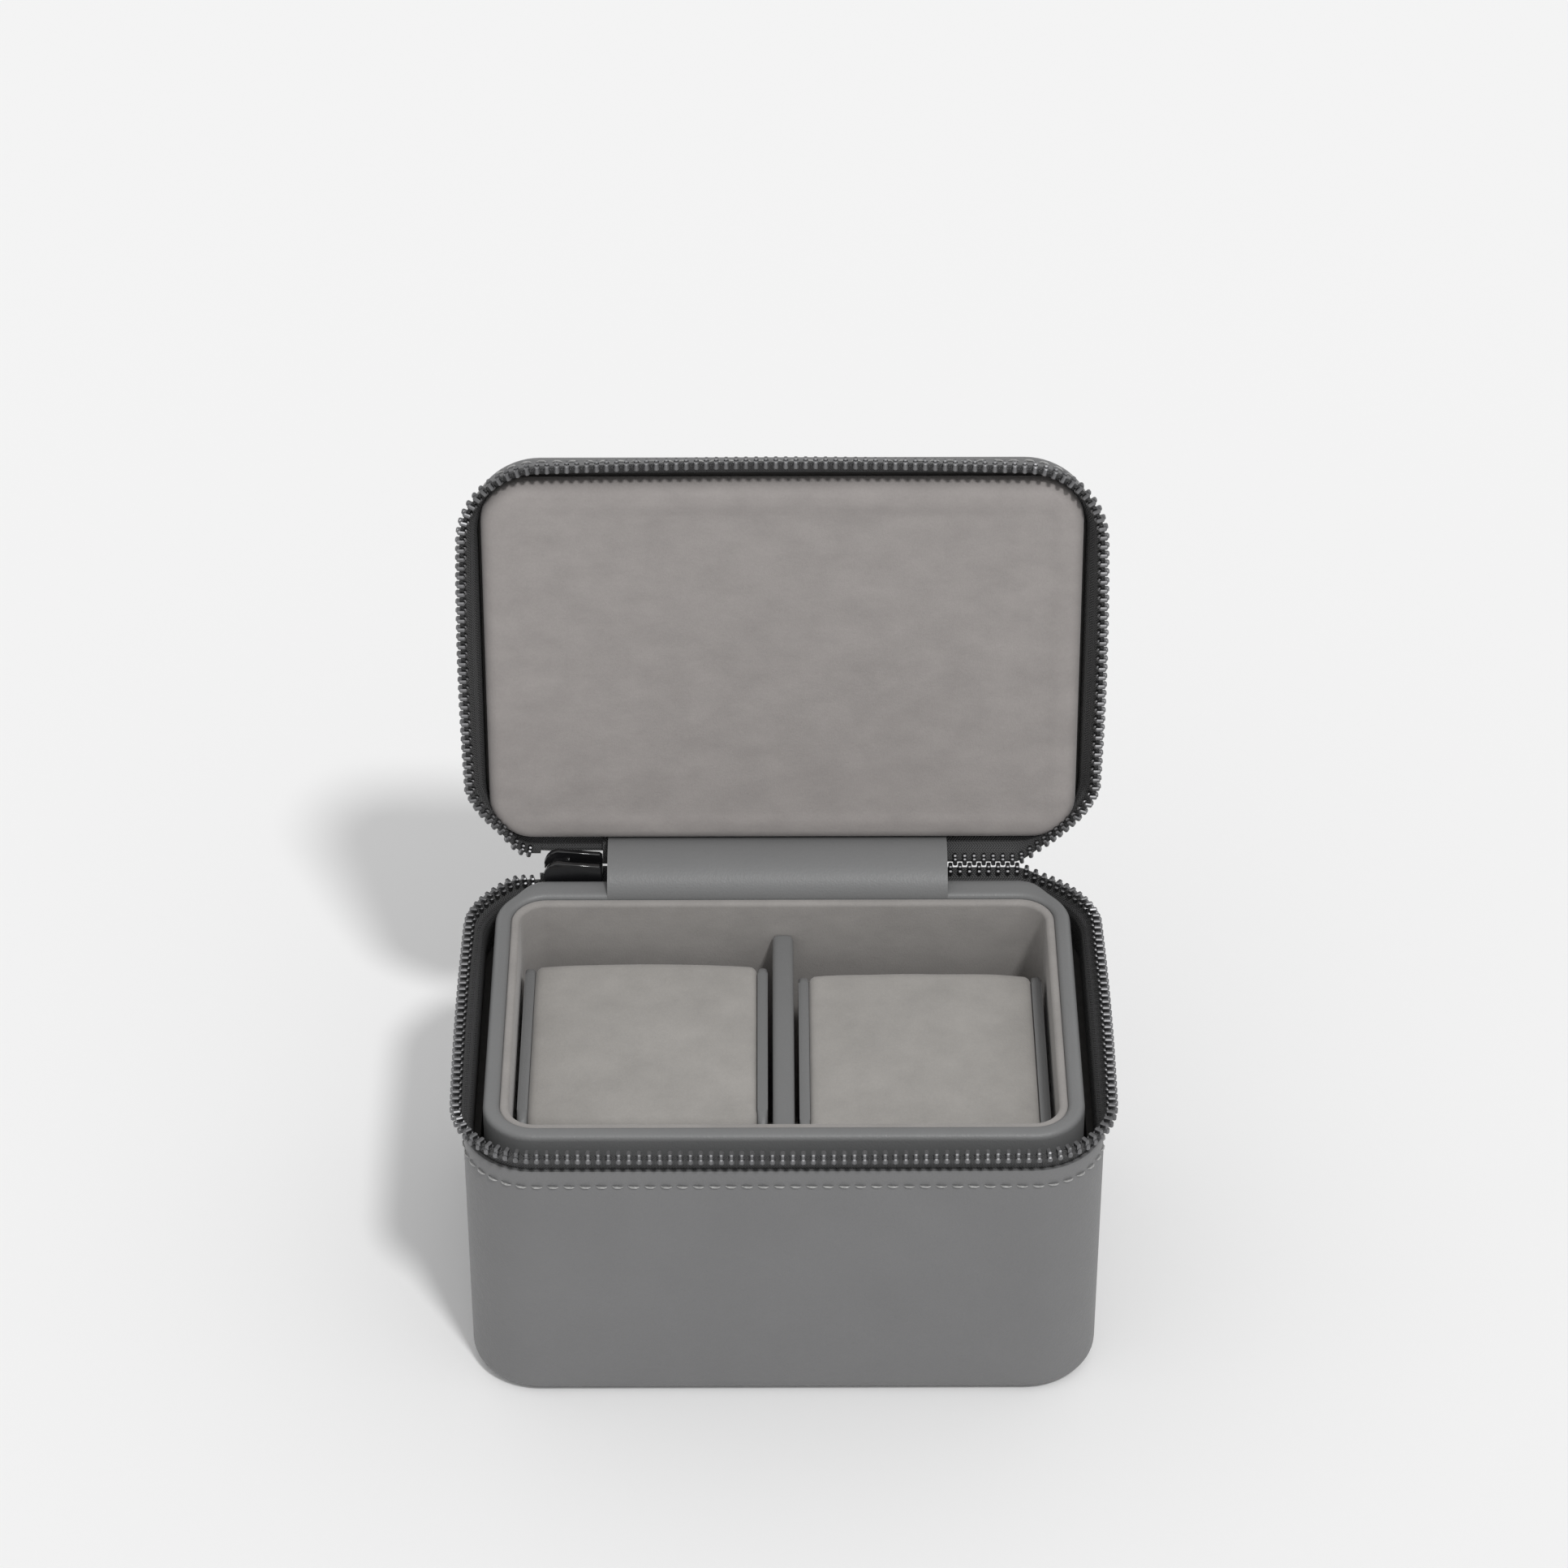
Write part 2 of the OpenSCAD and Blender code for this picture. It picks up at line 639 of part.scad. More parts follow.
base_side_leather();
base_bottom_leather();
base_side_board();
base_bottom_board();
base_zip_tape();
base_zip_teeth();
base_stitches();
tray_board();
tray_collar_leather();
tray_wall_lining();
tray_floor_lining();
divider_board();
divider_leather();
left_cushion_cover();
left_cushion_foam();
left_cushion_outer_plate();
left_cushion_inner_plate();
right_cushion_cover();
right_cushion_foam();
right_cushion_outer_plate();
right_cushion_inner_plate();
lid_leather();
lid_board();
lid_zip_tape();
lid_zip_teeth();
lid_stitches();
lid_panel_suede();
lid_panel_foam();
lid_panel_board();
lid_filler_foam();
hinge_strip_inner();
hinge_strip_outer();
zip_slider();
pull_link();
pull_tab();
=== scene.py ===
# Travel case for two wrist watches, open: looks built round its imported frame.
import json
import math
import random

import bmesh
import bpy
from mathutils import Matrix, Vector, noise


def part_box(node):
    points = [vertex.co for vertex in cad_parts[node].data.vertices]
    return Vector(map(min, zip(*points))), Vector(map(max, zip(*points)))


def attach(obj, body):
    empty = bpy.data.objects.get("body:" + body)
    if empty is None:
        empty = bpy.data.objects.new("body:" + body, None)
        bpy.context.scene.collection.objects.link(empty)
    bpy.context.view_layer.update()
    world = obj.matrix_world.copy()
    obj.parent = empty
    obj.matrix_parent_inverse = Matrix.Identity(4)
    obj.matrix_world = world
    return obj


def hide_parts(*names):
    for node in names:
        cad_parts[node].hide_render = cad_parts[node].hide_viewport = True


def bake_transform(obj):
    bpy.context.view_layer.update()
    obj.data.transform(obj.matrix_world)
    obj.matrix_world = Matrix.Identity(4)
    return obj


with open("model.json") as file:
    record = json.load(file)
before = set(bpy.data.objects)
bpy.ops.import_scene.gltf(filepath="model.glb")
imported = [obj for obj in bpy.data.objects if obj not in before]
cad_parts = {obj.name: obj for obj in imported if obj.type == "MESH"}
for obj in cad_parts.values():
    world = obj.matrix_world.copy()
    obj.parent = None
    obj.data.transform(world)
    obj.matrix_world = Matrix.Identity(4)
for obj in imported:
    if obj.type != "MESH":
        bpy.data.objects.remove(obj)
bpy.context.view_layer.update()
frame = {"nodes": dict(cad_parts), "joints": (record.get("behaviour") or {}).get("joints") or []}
mm = 0.001
still = Vector((0, 0, 0))
joints = {j["name"]: j for j in frame["joints"]}
hinge = Vector(joints["lid_hinge"]["pos_m"])
openAngle = math.radians(joints["lid_hinge"]["range_deg"][0])
openLid = Matrix.Translation(hinge) @ Matrix.Rotation(openAngle, 4, "X") @ Matrix.Translation(-hinge)

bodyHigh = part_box("base_side_leather")[1]
halfX, halfY, bodyTop = bodyHigh.x, bodyHigh.y, bodyHigh.z
zipLine = hinge.z
case = {"cornerRadius": 16 * mm, "leather": 1.2 * mm, "tape": 0.7 * mm, "slack": 0.05 * mm,
        "zipRise": zipLine - bodyTop, "zipFlare": hinge.y - halfY - 1.6 * mm}
lidEdge = zipLine + case["zipRise"]


def turns(first, last, step):
    return [math.radians(d) for d in range(first, last, step)]


def arcPoints(a, b, r, angles):
    return [(a + r * math.cos(turn), b + r * math.sin(turn)) for turn in angles]


def smooth(t):
    t = min(1.0, max(0.0, t))
    return t * t * (3 - 2 * t)


# The case's outline seen from above starts in the middle of the back and runs towards +X
def outlineLegs(hx, hy, r):
    a, b, q = hx - r, hy - r, math.pi * r / 2
    return [("line", a), ("arc", q), ("line", 2 * b), ("arc", q), ("line", 2 * a), ("arc", q),
            ("line", 2 * b), ("arc", q), ("line", a)]


def outlineLength(hx, hy, r):
    return sum(length for _, length in outlineLegs(hx, hy, r))


# Point and outward direction at a length along the outline
def outlinePlace(s, hx, hy, r):
    x, y, heading = 0.0, hy, 0.0
    for kind, length in outlineLegs(hx, hy, r):
        step = min(s, length)
        if kind == "line":
            x += step * math.cos(heading)
            y += step * math.sin(heading)
        else:
            cx, cy = x + r * math.sin(heading), y - r * math.cos(heading)
            heading -= step / r
            x, y = cx - r * math.sin(heading), cy + r * math.cos(heading)
        s -= step
        if s <= 1e-9:
            break
    return Vector((x, y, 0)), Vector((-math.sin(heading), math.cos(heading), 0))


def stations(hx, hy, r, first, last, arcSteps, lineSteps):
    marks, s = [], 0.0
    for kind, length in outlineLegs(hx, hy, r):
        n = arcSteps if kind == "arc" else lineSteps
        marks += [s + length * i / n for i in range(n)]
        s += length
    inside = [m for m in marks if first + 1e-5 < m < last - 1e-5]
    return [first] + inside + [last]


# Carries a closed profile of (distance out, height) points round the box, each point moved on by move
def sweep(bm, profile, first=None, last=None, arcSteps=12, lineSteps=1, move=None, extra=()):
    hx, hy, r = halfX, halfY, case["cornerRadius"]
    total = outlineLength(hx, hy, r)
    whole = first is None
    marks = stations(hx, hy, r, 0 if whole else first, total if whole else last, arcSteps, lineSteps)
    marks = sorted(set(marks) | set(extra))
    uv = bm.loops.layers.uv.verify()
    rings = []
    for i, s in enumerate(marks):
        if whole and i == len(marks) - 1:
            rings.append(rings[0])
            continue
        point, out = outlinePlace(s, hx, hy, r)
        ring = []
        for o, z in profile:
            shift = move(point, out, z) if move else still
            ring.append(bm.verts.new(point + out * o + Vector((0, 0, z)) + shift))
        rings.append(ring)
    n = len(profile)
    around = [0.0]
    for k in range(n):
        a, b = profile[k], profile[(k + 1) % n]
        around.append(around[-1] + math.hypot(b[0] - a[0], b[1] - a[1]))
    for i in range(len(marks) - 1):
        for k in range(n):
            k2 = (k + 1) % n
            face = bm.faces.new((rings[i][k], rings[i][k2], rings[i + 1][k2], rings[i + 1][k]))
            spots = ((marks[i], around[k]), (marks[i], around[k + 1]), (marks[i + 1], around[k + 1]),
                     (marks[i + 1], around[k]))
            for loop, spot in zip(face.loops, spots):
                loop[uv].uv = spot
    if not whole:
        bm.faces.new(rings[0])
        bm.faces.new(rings[-1])


def ringAt(bm, out, z, arcSteps=16, hx=halfX, hy=halfY, r=case["cornerRadius"]):
    ring = []
    for s in stations(hx, hy, r, 0, outlineLength(hx, hy, r), arcSteps, 1)[:-1]:
        point, direction = outlinePlace(s, hx, hy, r)
        ring.append(bm.verts.new(point + direction * out + Vector((0, 0, z))))
    return ring


# Skin over a row of rings, closed at both ends
def skinRings(bm, rings):
    for a, b in zip(rings, rings[1:]):
        for i in range(len(a)):
            k = (i + 1) % len(a)
            bm.faces.new((a[i], a[k], b[k], b[i]))
    bm.faces.new(rings[0])
    bm.faces.new(rings[-1])


# Closed profile with its corners rounded, one radius for each corner
def softened(points, radii, steps):
    result = []
    n = len(points)
    for i, (spot, r) in enumerate(zip(points, radii)):
        p = Vector(spot)
        a, b = Vector(points[i - 1]) - p, Vector(points[(i + 1) % n]) - p
        turn = a.angle(b)
        if r <= 0 or turn > 3.1:
            result.append(tuple(p))
            continue
        cut = min(r / math.tan(turn / 2), 0.48 * a.length, 0.48 * b.length)
        a.normalize()
        b.normalize()
        start, end = p + a * cut, p + b * cut
        centre = p + (a + b).normalized() * (cut / math.cos(turn / 2))
        reach = (start - centre).length
        for k in range(steps + 1):
            spoke = (start - centre).normalized().slerp((end - centre).normalized(), k / steps)
            result.append(tuple(centre + spoke * reach))
    return result


def roundEdges(bm, edges, radius, segments):
    bmesh.ops.bevel(bm, geom=edges, offset=radius, segments=segments, profile=0.5, affect="EDGES",
                    material=-1)


# Box between two corners, in any order, with its edges rounded
def softBlock(bm, first, second, radius, segments=3):
    low = Vector([min(a, b) for a, b in zip(first, second)])
    high = Vector([max(a, b) for a, b in zip(first, second)])
    made = bmesh.ops.create_cube(bm, size=1)["verts"]
    bmesh.ops.scale(bm, vec=high - low, verts=made)
    bmesh.ops.translate(bm, vec=(high + low) / 2, verts=made)
    roundEdges(bm, list({e for v in made for e in v.link_edges}), radius, segments)


# Outline of (a, b) points pushed from one place to another on an axis, its rims rounded
def prism(bm, outline, axis, start, end, bevel, segments=2):
    def put(a, b, c):
        return {"x": (c, a, b), "y": (a, c, b)}[axis]
    low, high = sorted((start, end))
    first = [bm.verts.new(put(a, b, low)) for a, b in outline]
    last = [bm.verts.new(put(a, b, high)) for a, b in outline]
    caps = [bm.faces.new(first), bm.faces.new(last)]
    for i in range(len(outline)):
        k = (i + 1) % len(outline)
        bm.faces.new((first[i], first[k], last[k], last[i]))
    if bevel:
        roundEdges(bm, list({e for cap in caps for e in cap.edges}), bevel, segments)


def smoothByAngle(mesh, degrees):
    bm = bmesh.new()
    bm.from_mesh(mesh)
    bmesh.ops.recalc_face_normals(bm, faces=bm.faces)
    limit = math.radians(degrees)
    for face in bm.faces:
        face.smooth = True
    for edge in bm.edges:
        edge.smooth = len(edge.link_faces) != 2 or edge.calc_face_angle(0) < limit
    bm.to_mesh(mesh)
    bm.free()


def finished(name, bm, material, body=None, replaced=(), angle=35):
    mesh = bpy.data.meshes.new(name)
    bm.to_mesh(mesh)
    bm.free()
    smoothByAngle(mesh, angle)
    mesh.materials.append(material)
    obj = bpy.data.objects.new(name, mesh)
    bpy.context.scene.collection.objects.link(obj)
    if body:
        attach(obj, body)
    if replaced:
        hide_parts(*replaced)
    return obj


# One procedural material; its patterns read Object coordinates
class Nodes:
    def __init__(self, name, color, roughness, **sockets):
        self.material = bpy.data.materials.new(name)
        self.material.use_nodes = True
        self.tree = self.material.node_tree
        self.shader = self.tree.nodes["Principled BSDF"]
        self.color = color
        self.shader.inputs["Base Color"].default_value = (*color, 1)
        self.shader.inputs["Roughness"].default_value = roughness
        for key, value in sockets.items():
            self.shader.inputs[key.replace("_", " ")].default_value = value
        self.height = None

    def node(self, kind, **values):
        made = self.tree.nodes.new(kind)
        for key, value in values.items():
            if key in ("operation", "feature"):
                setattr(made, key, value)
            else:
                made.inputs[key.replace("_", " ")].default_value = value
        return made

    def link(self, a, b):
        self.tree.links.new(a, b)

    def space(self, stretch=(1, 1, 1)):
        spot = self.node("ShaderNodeTexCoord")
        mapping = self.node("ShaderNodeMapping")
        mapping.inputs["Scale"].default_value = stretch
        self.link(spot.outputs["Object"], mapping.inputs["Vector"])
        return mapping.outputs["Vector"]

    def noise(self, scale, detail=3.0, roughness=0.55, stretch=(1, 1, 1)):
        made = self.node("ShaderNodeTexNoise", Scale=scale, Detail=detail, Roughness=roughness)
        self.link(self.space(stretch), made.inputs["Vector"])
        return made.outputs["Fac"]

    def math(self, operation, *values):
        made = self.node("ShaderNodeMath", operation=operation)
        for i, value in enumerate(values):
            if isinstance(value, (int, float)):
                made.inputs[i].default_value = value
            else:
                self.link(value, made.inputs[i])
        return made.outputs[0]

    # The colour runs from low to high times the base as amount runs from 0.3 to 0.7
    def tint(self, amount, low, high):
        ramp = self.node("ShaderNodeValToRGB")
        ramp.color_ramp.elements[0].position = 0.3
        ramp.color_ramp.elements[1].position = 0.7
        for element, factor in zip(ramp.color_ramp.elements, (low, high)):
            element.color = (*[min(1, c * factor) for c in self.color], 1)
        self.link(amount, ramp.inputs["Fac"])
        self.link(ramp.outputs["Color"], self.shader.inputs["Base Color"])

    def rough(self, amount, low, high):
        ranged = self.node("ShaderNodeMapRange", To_Min=low, To_Max=high)
        self.link(amount, ranged.inputs["Value"])
        self.link(ranged.outputs["Result"], self.shader.inputs["Roughness"])

    def bump(self, height, distance, strength=1.0):
        made = self.node("ShaderNodeBump", Distance=distance, Strength=strength)
        self.link(height, made.inputs["Height"])
        if self.height is not None:
            self.link(self.height, made.inputs["Normal"])
        self.height = made.outputs["Normal"]
        self.link(self.height, self.shader.inputs["Normal"])


def grainedLeather(name, color, cell, depth, roughness):
    m = Nodes(name, color, roughness)
    cells = m.node("ShaderNodeTexVoronoi", feature="F1", Scale=1 / cell)
    m.link(m.space(), cells.inputs["Vector"])
    pores = m.noise(0.5 / cell, 4)
    m.tint(m.noise(45, 4), 0.97, 1.035)
    m.rough(pores, roughness - 0.08, roughness + 0.08)
    m.bump(cells.outputs["Distance"], depth, 0.55)
    m.bump(pores, depth * 1.6, 0.35)
    m.bump(m.noise(140, 2), depth * 5, 0.12)  # soft unevenness of the hide
    return m.material


def suede(name, color):
    m = Nodes(name, color, 0.93, Sheen_Weight=0.22, Sheen_Roughness=0.45)
    nap = m.noise(95, 5, 0.62, (1, 1, 1.6))
    speck = m.math("MULTIPLY", m.noise(1900, 3), 0.28)
    m.tint(m.math("ADD", m.math("MULTIPLY", nap, 0.72), speck), 0.88, 1.09)
    m.bump(m.noise(2300, 3, 0.7), 0.12 * mm, 0.6)
    m.bump(nap, 0.5 * mm, 0.16)
    return m.material


# Slanted twill that follows the tape's own UV map, which is in metres along and across
def wovenTape(name, color):
    m = Nodes(name, color, 0.72)
    uv = m.node("ShaderNodeUVMap")
    parts = m.node("ShaderNodeSeparateXYZ")
    m.link(uv.outputs["UV"], parts.inputs["Vector"])
    rib = m.math("PINGPONG", parts.outputs["Y"], 0.9 * mm)
    slant = m.math("ADD", parts.outputs["X"], rib)
    twill = m.math("SINE", m.math("MULTIPLY", slant, 2 * math.pi / (0.62 * mm)))
    lane = m.math("SINE", m.math("MULTIPLY", parts.outputs["Y"], 2 * math.pi / (0.45 * mm)))
    weave = m.math("MULTIPLY_ADD", lane, 0.35, twill)
    m.tint(m.math("MULTIPLY_ADD", weave, 0.22, 0.5), 0.55, 1.5)
    m.bump(weave, 0.09 * mm, 0.9)
    return m.material


def metal(name, color, roughness, scratch):
    m = Nodes(name, color, roughness, Metallic=1.0)
    m.rough(m.noise(420, 4), roughness - scratch, roughness + scratch)
    m.tint(m.noise(160, 3), 0.85, 1.12)
    m.bump(m.noise(1500, 2), 0.03 * mm, 0.3)
    return m.material


def plain(name, color, roughness, grain, depth):
    m = Nodes(name, color, roughness)
    speck = m.noise(1 / grain, 4)
    m.tint(speck, 0.86, 1.1)
    m.bump(speck, depth, 0.5)
    return m.material


def twistedThread(name, color):
    m = Nodes(name, color, 0.6)
    m.tint(m.noise(1200, 2), 0.7, 1.2)
    m.bump(m.noise(2600, 2), 0.05 * mm, 0.6)
    return m.material


def lacquer(name, color):
    m = Nodes(name, color, 0.14, Coat_Weight=0.6, Coat_Roughness=0.06)
    m.rough(m.noise(300, 3), 0.1, 0.2)
    m.bump(m.noise(500, 2), 0.03 * mm, 0.25)
    return m.material


leather = grainedLeather("leather", (0.169, 0.169, 0.171), 0.62 * mm, 0.1 * mm, 0.52)
thinLeather = grainedLeather("thinLeather", (0.184, 0.186, 0.187), 0.45 * mm, 0.05 * mm, 0.46)
suedePanel = suede("suedePanel", (0.325, 0.302, 0.292))
suedeLining = suede("suedeLining", (0.31, 0.295, 0.283))
suedeCushion = suede("suedeCushion", (0.35, 0.335, 0.317))
tapeCloth = wovenTape("tapeCloth", (0.068, 0.068, 0.069))
gunmetal = metal("gunmetal", (0.2, 0.2, 0.205), 0.4, 0.07)
steel = metal("steel", (0.16, 0.16, 0.165), 0.24, 0.05)
boardStuff = plain("boardStuff", (0.06, 0.058, 0.055), 0.85, 2.5 * mm, 0.08 * mm)
foamStuff = plain("foamStuff", (0.69, 0.67, 0.58), 0.95, 0.8 * mm, 0.2 * mm)
threadStuff = twistedThread("threadStuff", (0.38, 0.38, 0.375))
blackGloss = lacquer("blackGloss", (0.011, 0.011, 0.012))

bySlot = {"leather": leather, "thin_leather": thinLeather, "suede": suedeLining, "board": boardStuff,
          "foam": foamStuff, "zip_tape": tapeCloth, "zip_metal": gunmetal, "slider_metal": blackGloss,
          "thread": threadStuff}
for node in frame["nodes"].values():
    for i, old in enumerate(node.data.materials):
        slotName = old.name.split(".")[0] if old else ""
        if slotName in bySlot:
            node.data.materials[i] = bySlot[slotName]
print("frame and materials ready")

# The groove is given as mm from the seam and share of the dip
boxSet = {"foot": 4 * mm, "turnIn": 6 * mm, "edgeRound": 0.5 * mm, "stitchIn": 4.3 * mm,
          "stitchDip": 0.28 * mm,
          "groove": ((-3.2, 0), (-1.8, 0.12), (-0.9, 0.55), (-0.35, 0.95), (0, 1), (0.35, 0.95),
                     (0.9, 0.5), (1.8, 0.1))}


# Closed section of the side leather: turned in under the box, up the wall, over the edge and down again
def leatherSkin():
    t, foot, r = case["leather"], boxSet["foot"], boxSet["edgeRound"]
    stitchZ = bodyTop - boxSet["stitchIn"]
    outer = [(-foot - boxSet["turnIn"], 0.0), (-foot, 0.0)]
    outer += [(-foot + foot * math.sin(a), foot - foot * math.cos(a)) for a in turns(10, 91, 10)]
    outer += [(-boxSet["stitchDip"] * depth, stitchZ + offset * mm) for offset, depth in boxSet["groove"]]
    outer += [(0, bodyTop - r * 1.6), (-r * 0.15, bodyTop - r * 0.6), (-r * 0.5, bodyTop - r * 0.12),
              (-t * 0.5, bodyTop), (-t + r * 0.2, bodyTop - r * 0.2), (-t, bodyTop - r)]
    inner = [(-t, foot)]
    inner += [(-foot + (foot - t) * math.sin(a), foot - (foot - t) * math.cos(a)) for a in turns(80, -1, -10)]
    inner.append((-foot - boxSet["turnIn"], t))
    return outer + inner


bm = bmesh.new()
sweep(bm, leatherSkin(), arcSteps=16)
finished("boxLeather", bm, leather, "base", ["base_side_leather"], 40)
print("box ready")

sliderLow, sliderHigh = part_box("zip_slider")
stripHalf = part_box("hinge_strip_inner")[1].x
stripShift = -1.2 * mm  # the strip sits a little off the middle, as in the photo
zipHx, zipHy = halfX + case["zipFlare"], halfY + case["zipFlare"]
zipR = case["cornerRadius"] + case["zipFlare"]
loopTotal = outlineLength(halfX, halfY, case["cornerRadius"])
tapeSet = {"boxSewn": 7 * mm, "lidSewn": 2 * mm, "short": 1.2 * mm, "pastSlider": 4.5 * mm,
           "besideStrip": 0.62 * mm, "endGap": 0.05 * mm, "sliderGap": 0.8 * mm, "bendStart": 0.4 * mm,
           "bendSteps": 6, "arcSteps": 14, "wallSteps": 10, "backSteps": (3, 6, 9, 11, 13, 14)}
bow = {"sides": 0.8 * mm, "front": 0.6 * mm, "corners": -1.5 * mm}
lidBow = {"sides": 1.2 * mm, "front": 1.9 * mm, "corners": -2.6 * mm}
meet = {"reach": 54 * mm, "fade": 61 * mm, "shift": Vector((0, 0.98, 0.55)) * mm,
        "part": 2 * mm, "partFrom": 3 * mm, "partOver": 9 * mm, "partUnder": 2 * mm}
sliderEnd = -sliderLow.x + tapeSet["sliderGap"]
tapeEnd = stripHalf - stripShift + tapeSet["endGap"]
tapeStart = stripHalf + stripShift + tapeSet["endGap"]


# The zip's free edge bows out along the walls and is drawn in at the back corners. Its rows meet at the back,
# and part again before the slider, where the edge runs straight.
def zipMove(bowSet):
    def move(point, out, z=None):
        rise = 1.0 if z is None else smooth((z - bodyTop) / (0.6 * case["zipRise"]))
        push = bowSet["sides"] * abs(out.x) * math.cos(math.pi / 2 * min(1, abs(point.y) / halfY))
        push += bowSet["front"] * max(0, -out.y) * math.cos(math.pi / 2 * min(1, abs(point.x) / halfX))
        push += bowSet["corners"] * 2 * abs(out.x) * max(0, out.y)
        near = part = 0
        if out.y > 0.5:
            near = smooth((meet["fade"] - abs(point.x)) / (meet["fade"] - meet["reach"]))
            toSlider = sliderLow.x - point.x
            if toSlider > -meet["partUnder"]:
                part = smooth(1 - (toSlider - meet["partFrom"]) / meet["partOver"])
        drop = (point.y - halfY + case["cornerRadius"]) * (1 - out.y) / max(out.y, 0.5)
        apart = Vector((0, (drop - out.y * push) * part, -meet["part"] * part))
        return (out * push + meet["shift"] * near * (1 - part) + apart) * rise
    return move


# The lid's half of the zip is made closed, as the box's half seen in a mirror, and then turned open
def turnedToLid(bm):
    bmesh.ops.scale(bm, vec=(1, 1, -1), space=Matrix.Translation((0, 0, -zipLine)), verts=bm.verts)
    bm.transform(openLid)


# Section of the tape, sewn inside the leather and flared out to the zip line; short is what it lacks there
def tapeProfile(sewn, short=tapeSet["short"]):
    t, flare = case["tape"], case["zipFlare"]
    inFace, outFace = -case["leather"] - t, -case["leather"] - case["slack"]
    bendLow, top = bodyTop + tapeSet["bendStart"], zipLine - short
    outer = [(outFace, bodyTop - sewn), (outFace, bodyTop)]
    inner = [(inFace, bodyTop - sewn), (inFace, bodyTop)]
    for i in range(1, tapeSet["bendSteps"] + 1):
        u = i / tapeSet["bendSteps"]
        ease = smooth(u)
        x, z = ((inFace + outFace) / 2) * (1 - ease) + flare * ease, bendLow + (top - bendLow) * u
        outer.append((x + t / 2, z))
        inner.append((x - t / 2, z))
    return outer + inner[::-1]


# Three stretches: round the case to the slider, under the slider, and on to the strip
def zipTape(sewn, underSlider, bowSet):
    bm = bmesh.new()
    backMarks = [stripHalf + d * mm for d in tapeSet["backSteps"]]
    sweep(bm, tapeProfile(sewn), tapeStart, loopTotal - sliderEnd, tapeSet["arcSteps"], tapeSet["wallSteps"],
          zipMove(bowSet), backMarks)
    sweep(bm, tapeProfile(sewn, underSlider), loopTotal - sliderEnd, loopTotal + sliderHigh.x, arcSteps=8)
    sweep(bm, tapeProfile(sewn, tapeSet["besideStrip"]), loopTotal + sliderHigh.x, loopTotal - tapeEnd,
          move=zipMove(bowSet))
    return bm


bm = zipTape(tapeSet["boxSewn"], tapeSet["short"], bow)
finished("boxZipTape", bm, tapeCloth, "base", ["base_zip_tape"], 50)
bm = zipTape(tapeSet["lidSewn"], tapeSet["pastSlider"], lidBow)
turnedToLid(bm)
finished("lidZipTape", bm, tapeCloth, "lid", ["lid_zip_tape"], 50)

toothSet = {"pitch": 2.2 * mm, "length": 1.05 * mm, "depth": 2.6 * mm, "height": 2.55 * mm, "gap": 0.2 * mm,
            "clampTop": 0.42, "clampRound": 0.28 * mm, "headFoot": 0.6, "headLength": 0.94, "headDepth": 0.72,
            "headRound": 0.26 * mm, "start": 0.9 * mm, "wobble": 0.02}


# Metal tooth: a clamp round the tape below, a narrower head above; x runs along the tape
def toothShape():
    w, d, h = toothSet["length"] / 2, toothSet["depth"] / 2, toothSet["height"]
    headW, headD = w * toothSet["headLength"], d * toothSet["headDepth"]
    bm = bmesh.new()
    softBlock(bm, (-w, -d, -h), (w, d, -h * toothSet["clampTop"]), toothSet["clampRound"], 1)
    softBlock(bm, (-headW, -headD, -h * toothSet["headFoot"]), (headW, headD, 0), toothSet["headRound"], 1)
    return bm


# Sets a copy of a small shape at each mark along an outline, with a slight lean of its own
def repeatShape(shape, outline, z, marks, wobble=0.0, move=None):
    bm = bmesh.new()
    shape.verts.index_update()
    dice = random.Random(7)
    for s in marks:
        point, out = outlinePlace(s, *outline)
        if move:
            point = point + move(point, out)
        along = Vector((out.y, -out.x, 0))
        lean = dice.uniform(-wobble, wobble)
        made = []
        for v in shape.verts:
            spot = point + along * (v.co.x + lean * v.co.z) + out * v.co.y
            made.append(bm.verts.new(spot + Vector((0, 0, z + v.co.z))))
        for f in shape.faces:
            bm.faces.new([made[v.index] for v in f.verts])
    return bm


def zipTeeth(shift, bowSet):
    start = stripHalf + stripShift + toothSet["start"] + shift
    end = outlineLength(zipHx, zipHy, zipR) - sliderEnd - toothSet["length"]
    count = int((end - start) / toothSet["pitch"]) + 1
    marks = [start + toothSet["pitch"] * i for i in range(count)]
    return repeatShape(tooth, (zipHx, zipHy, zipR), zipLine - toothSet["gap"] / 2, marks, toothSet["wobble"],
                       zipMove(bowSet))


tooth = toothShape()
bm = zipTeeth(0, bow)
finished("boxZipTeeth", bm, gunmetal, "base", ["base_zip_teeth"], 30)
bm = zipTeeth(toothSet["pitch"] / 2, lidBow)
turnedToLid(bm)
finished("lidZipTeeth", bm, gunmetal, "lid", ["lid_zip_teeth"], 30)
tooth.free()
print("zip ready")

stitchSet = {"pitch": 3.5 * mm, "length": 2.4 * mm, "thread": 0.48 * mm, "rise": 0.12 * mm, "slant": 0.1 * mm,
             "rings": 5, "sides": 6, "aboveEdge": 2 * mm}


# One stitch: a short soft thread that dives into the leather at both ends; x runs along the seam
def stitchShape():
    bm = bmesh.new()
    r = stitchSet["thread"] / 2
    rings = []
    for i in range(stitchSet["rings"]):
        u = i / (stitchSet["rings"] - 1) * 2 - 1
        grow = 0.45 + 0.55 * math.sqrt(max(0, 1 - u * u))
        arch = -stitchSet["rise"] - r * 1.2 * u ** 4
        rings.append([bm.verts.new((u * stitchSet["length"] / 2, arch + r * grow * math.sin(a),
                                    r * grow * math.cos(a) + stitchSet["slant"] * u))
                      for a in turns(0, 360, 360 // stitchSet["sides"])])
    skinRings(bm, rings)
    return bm


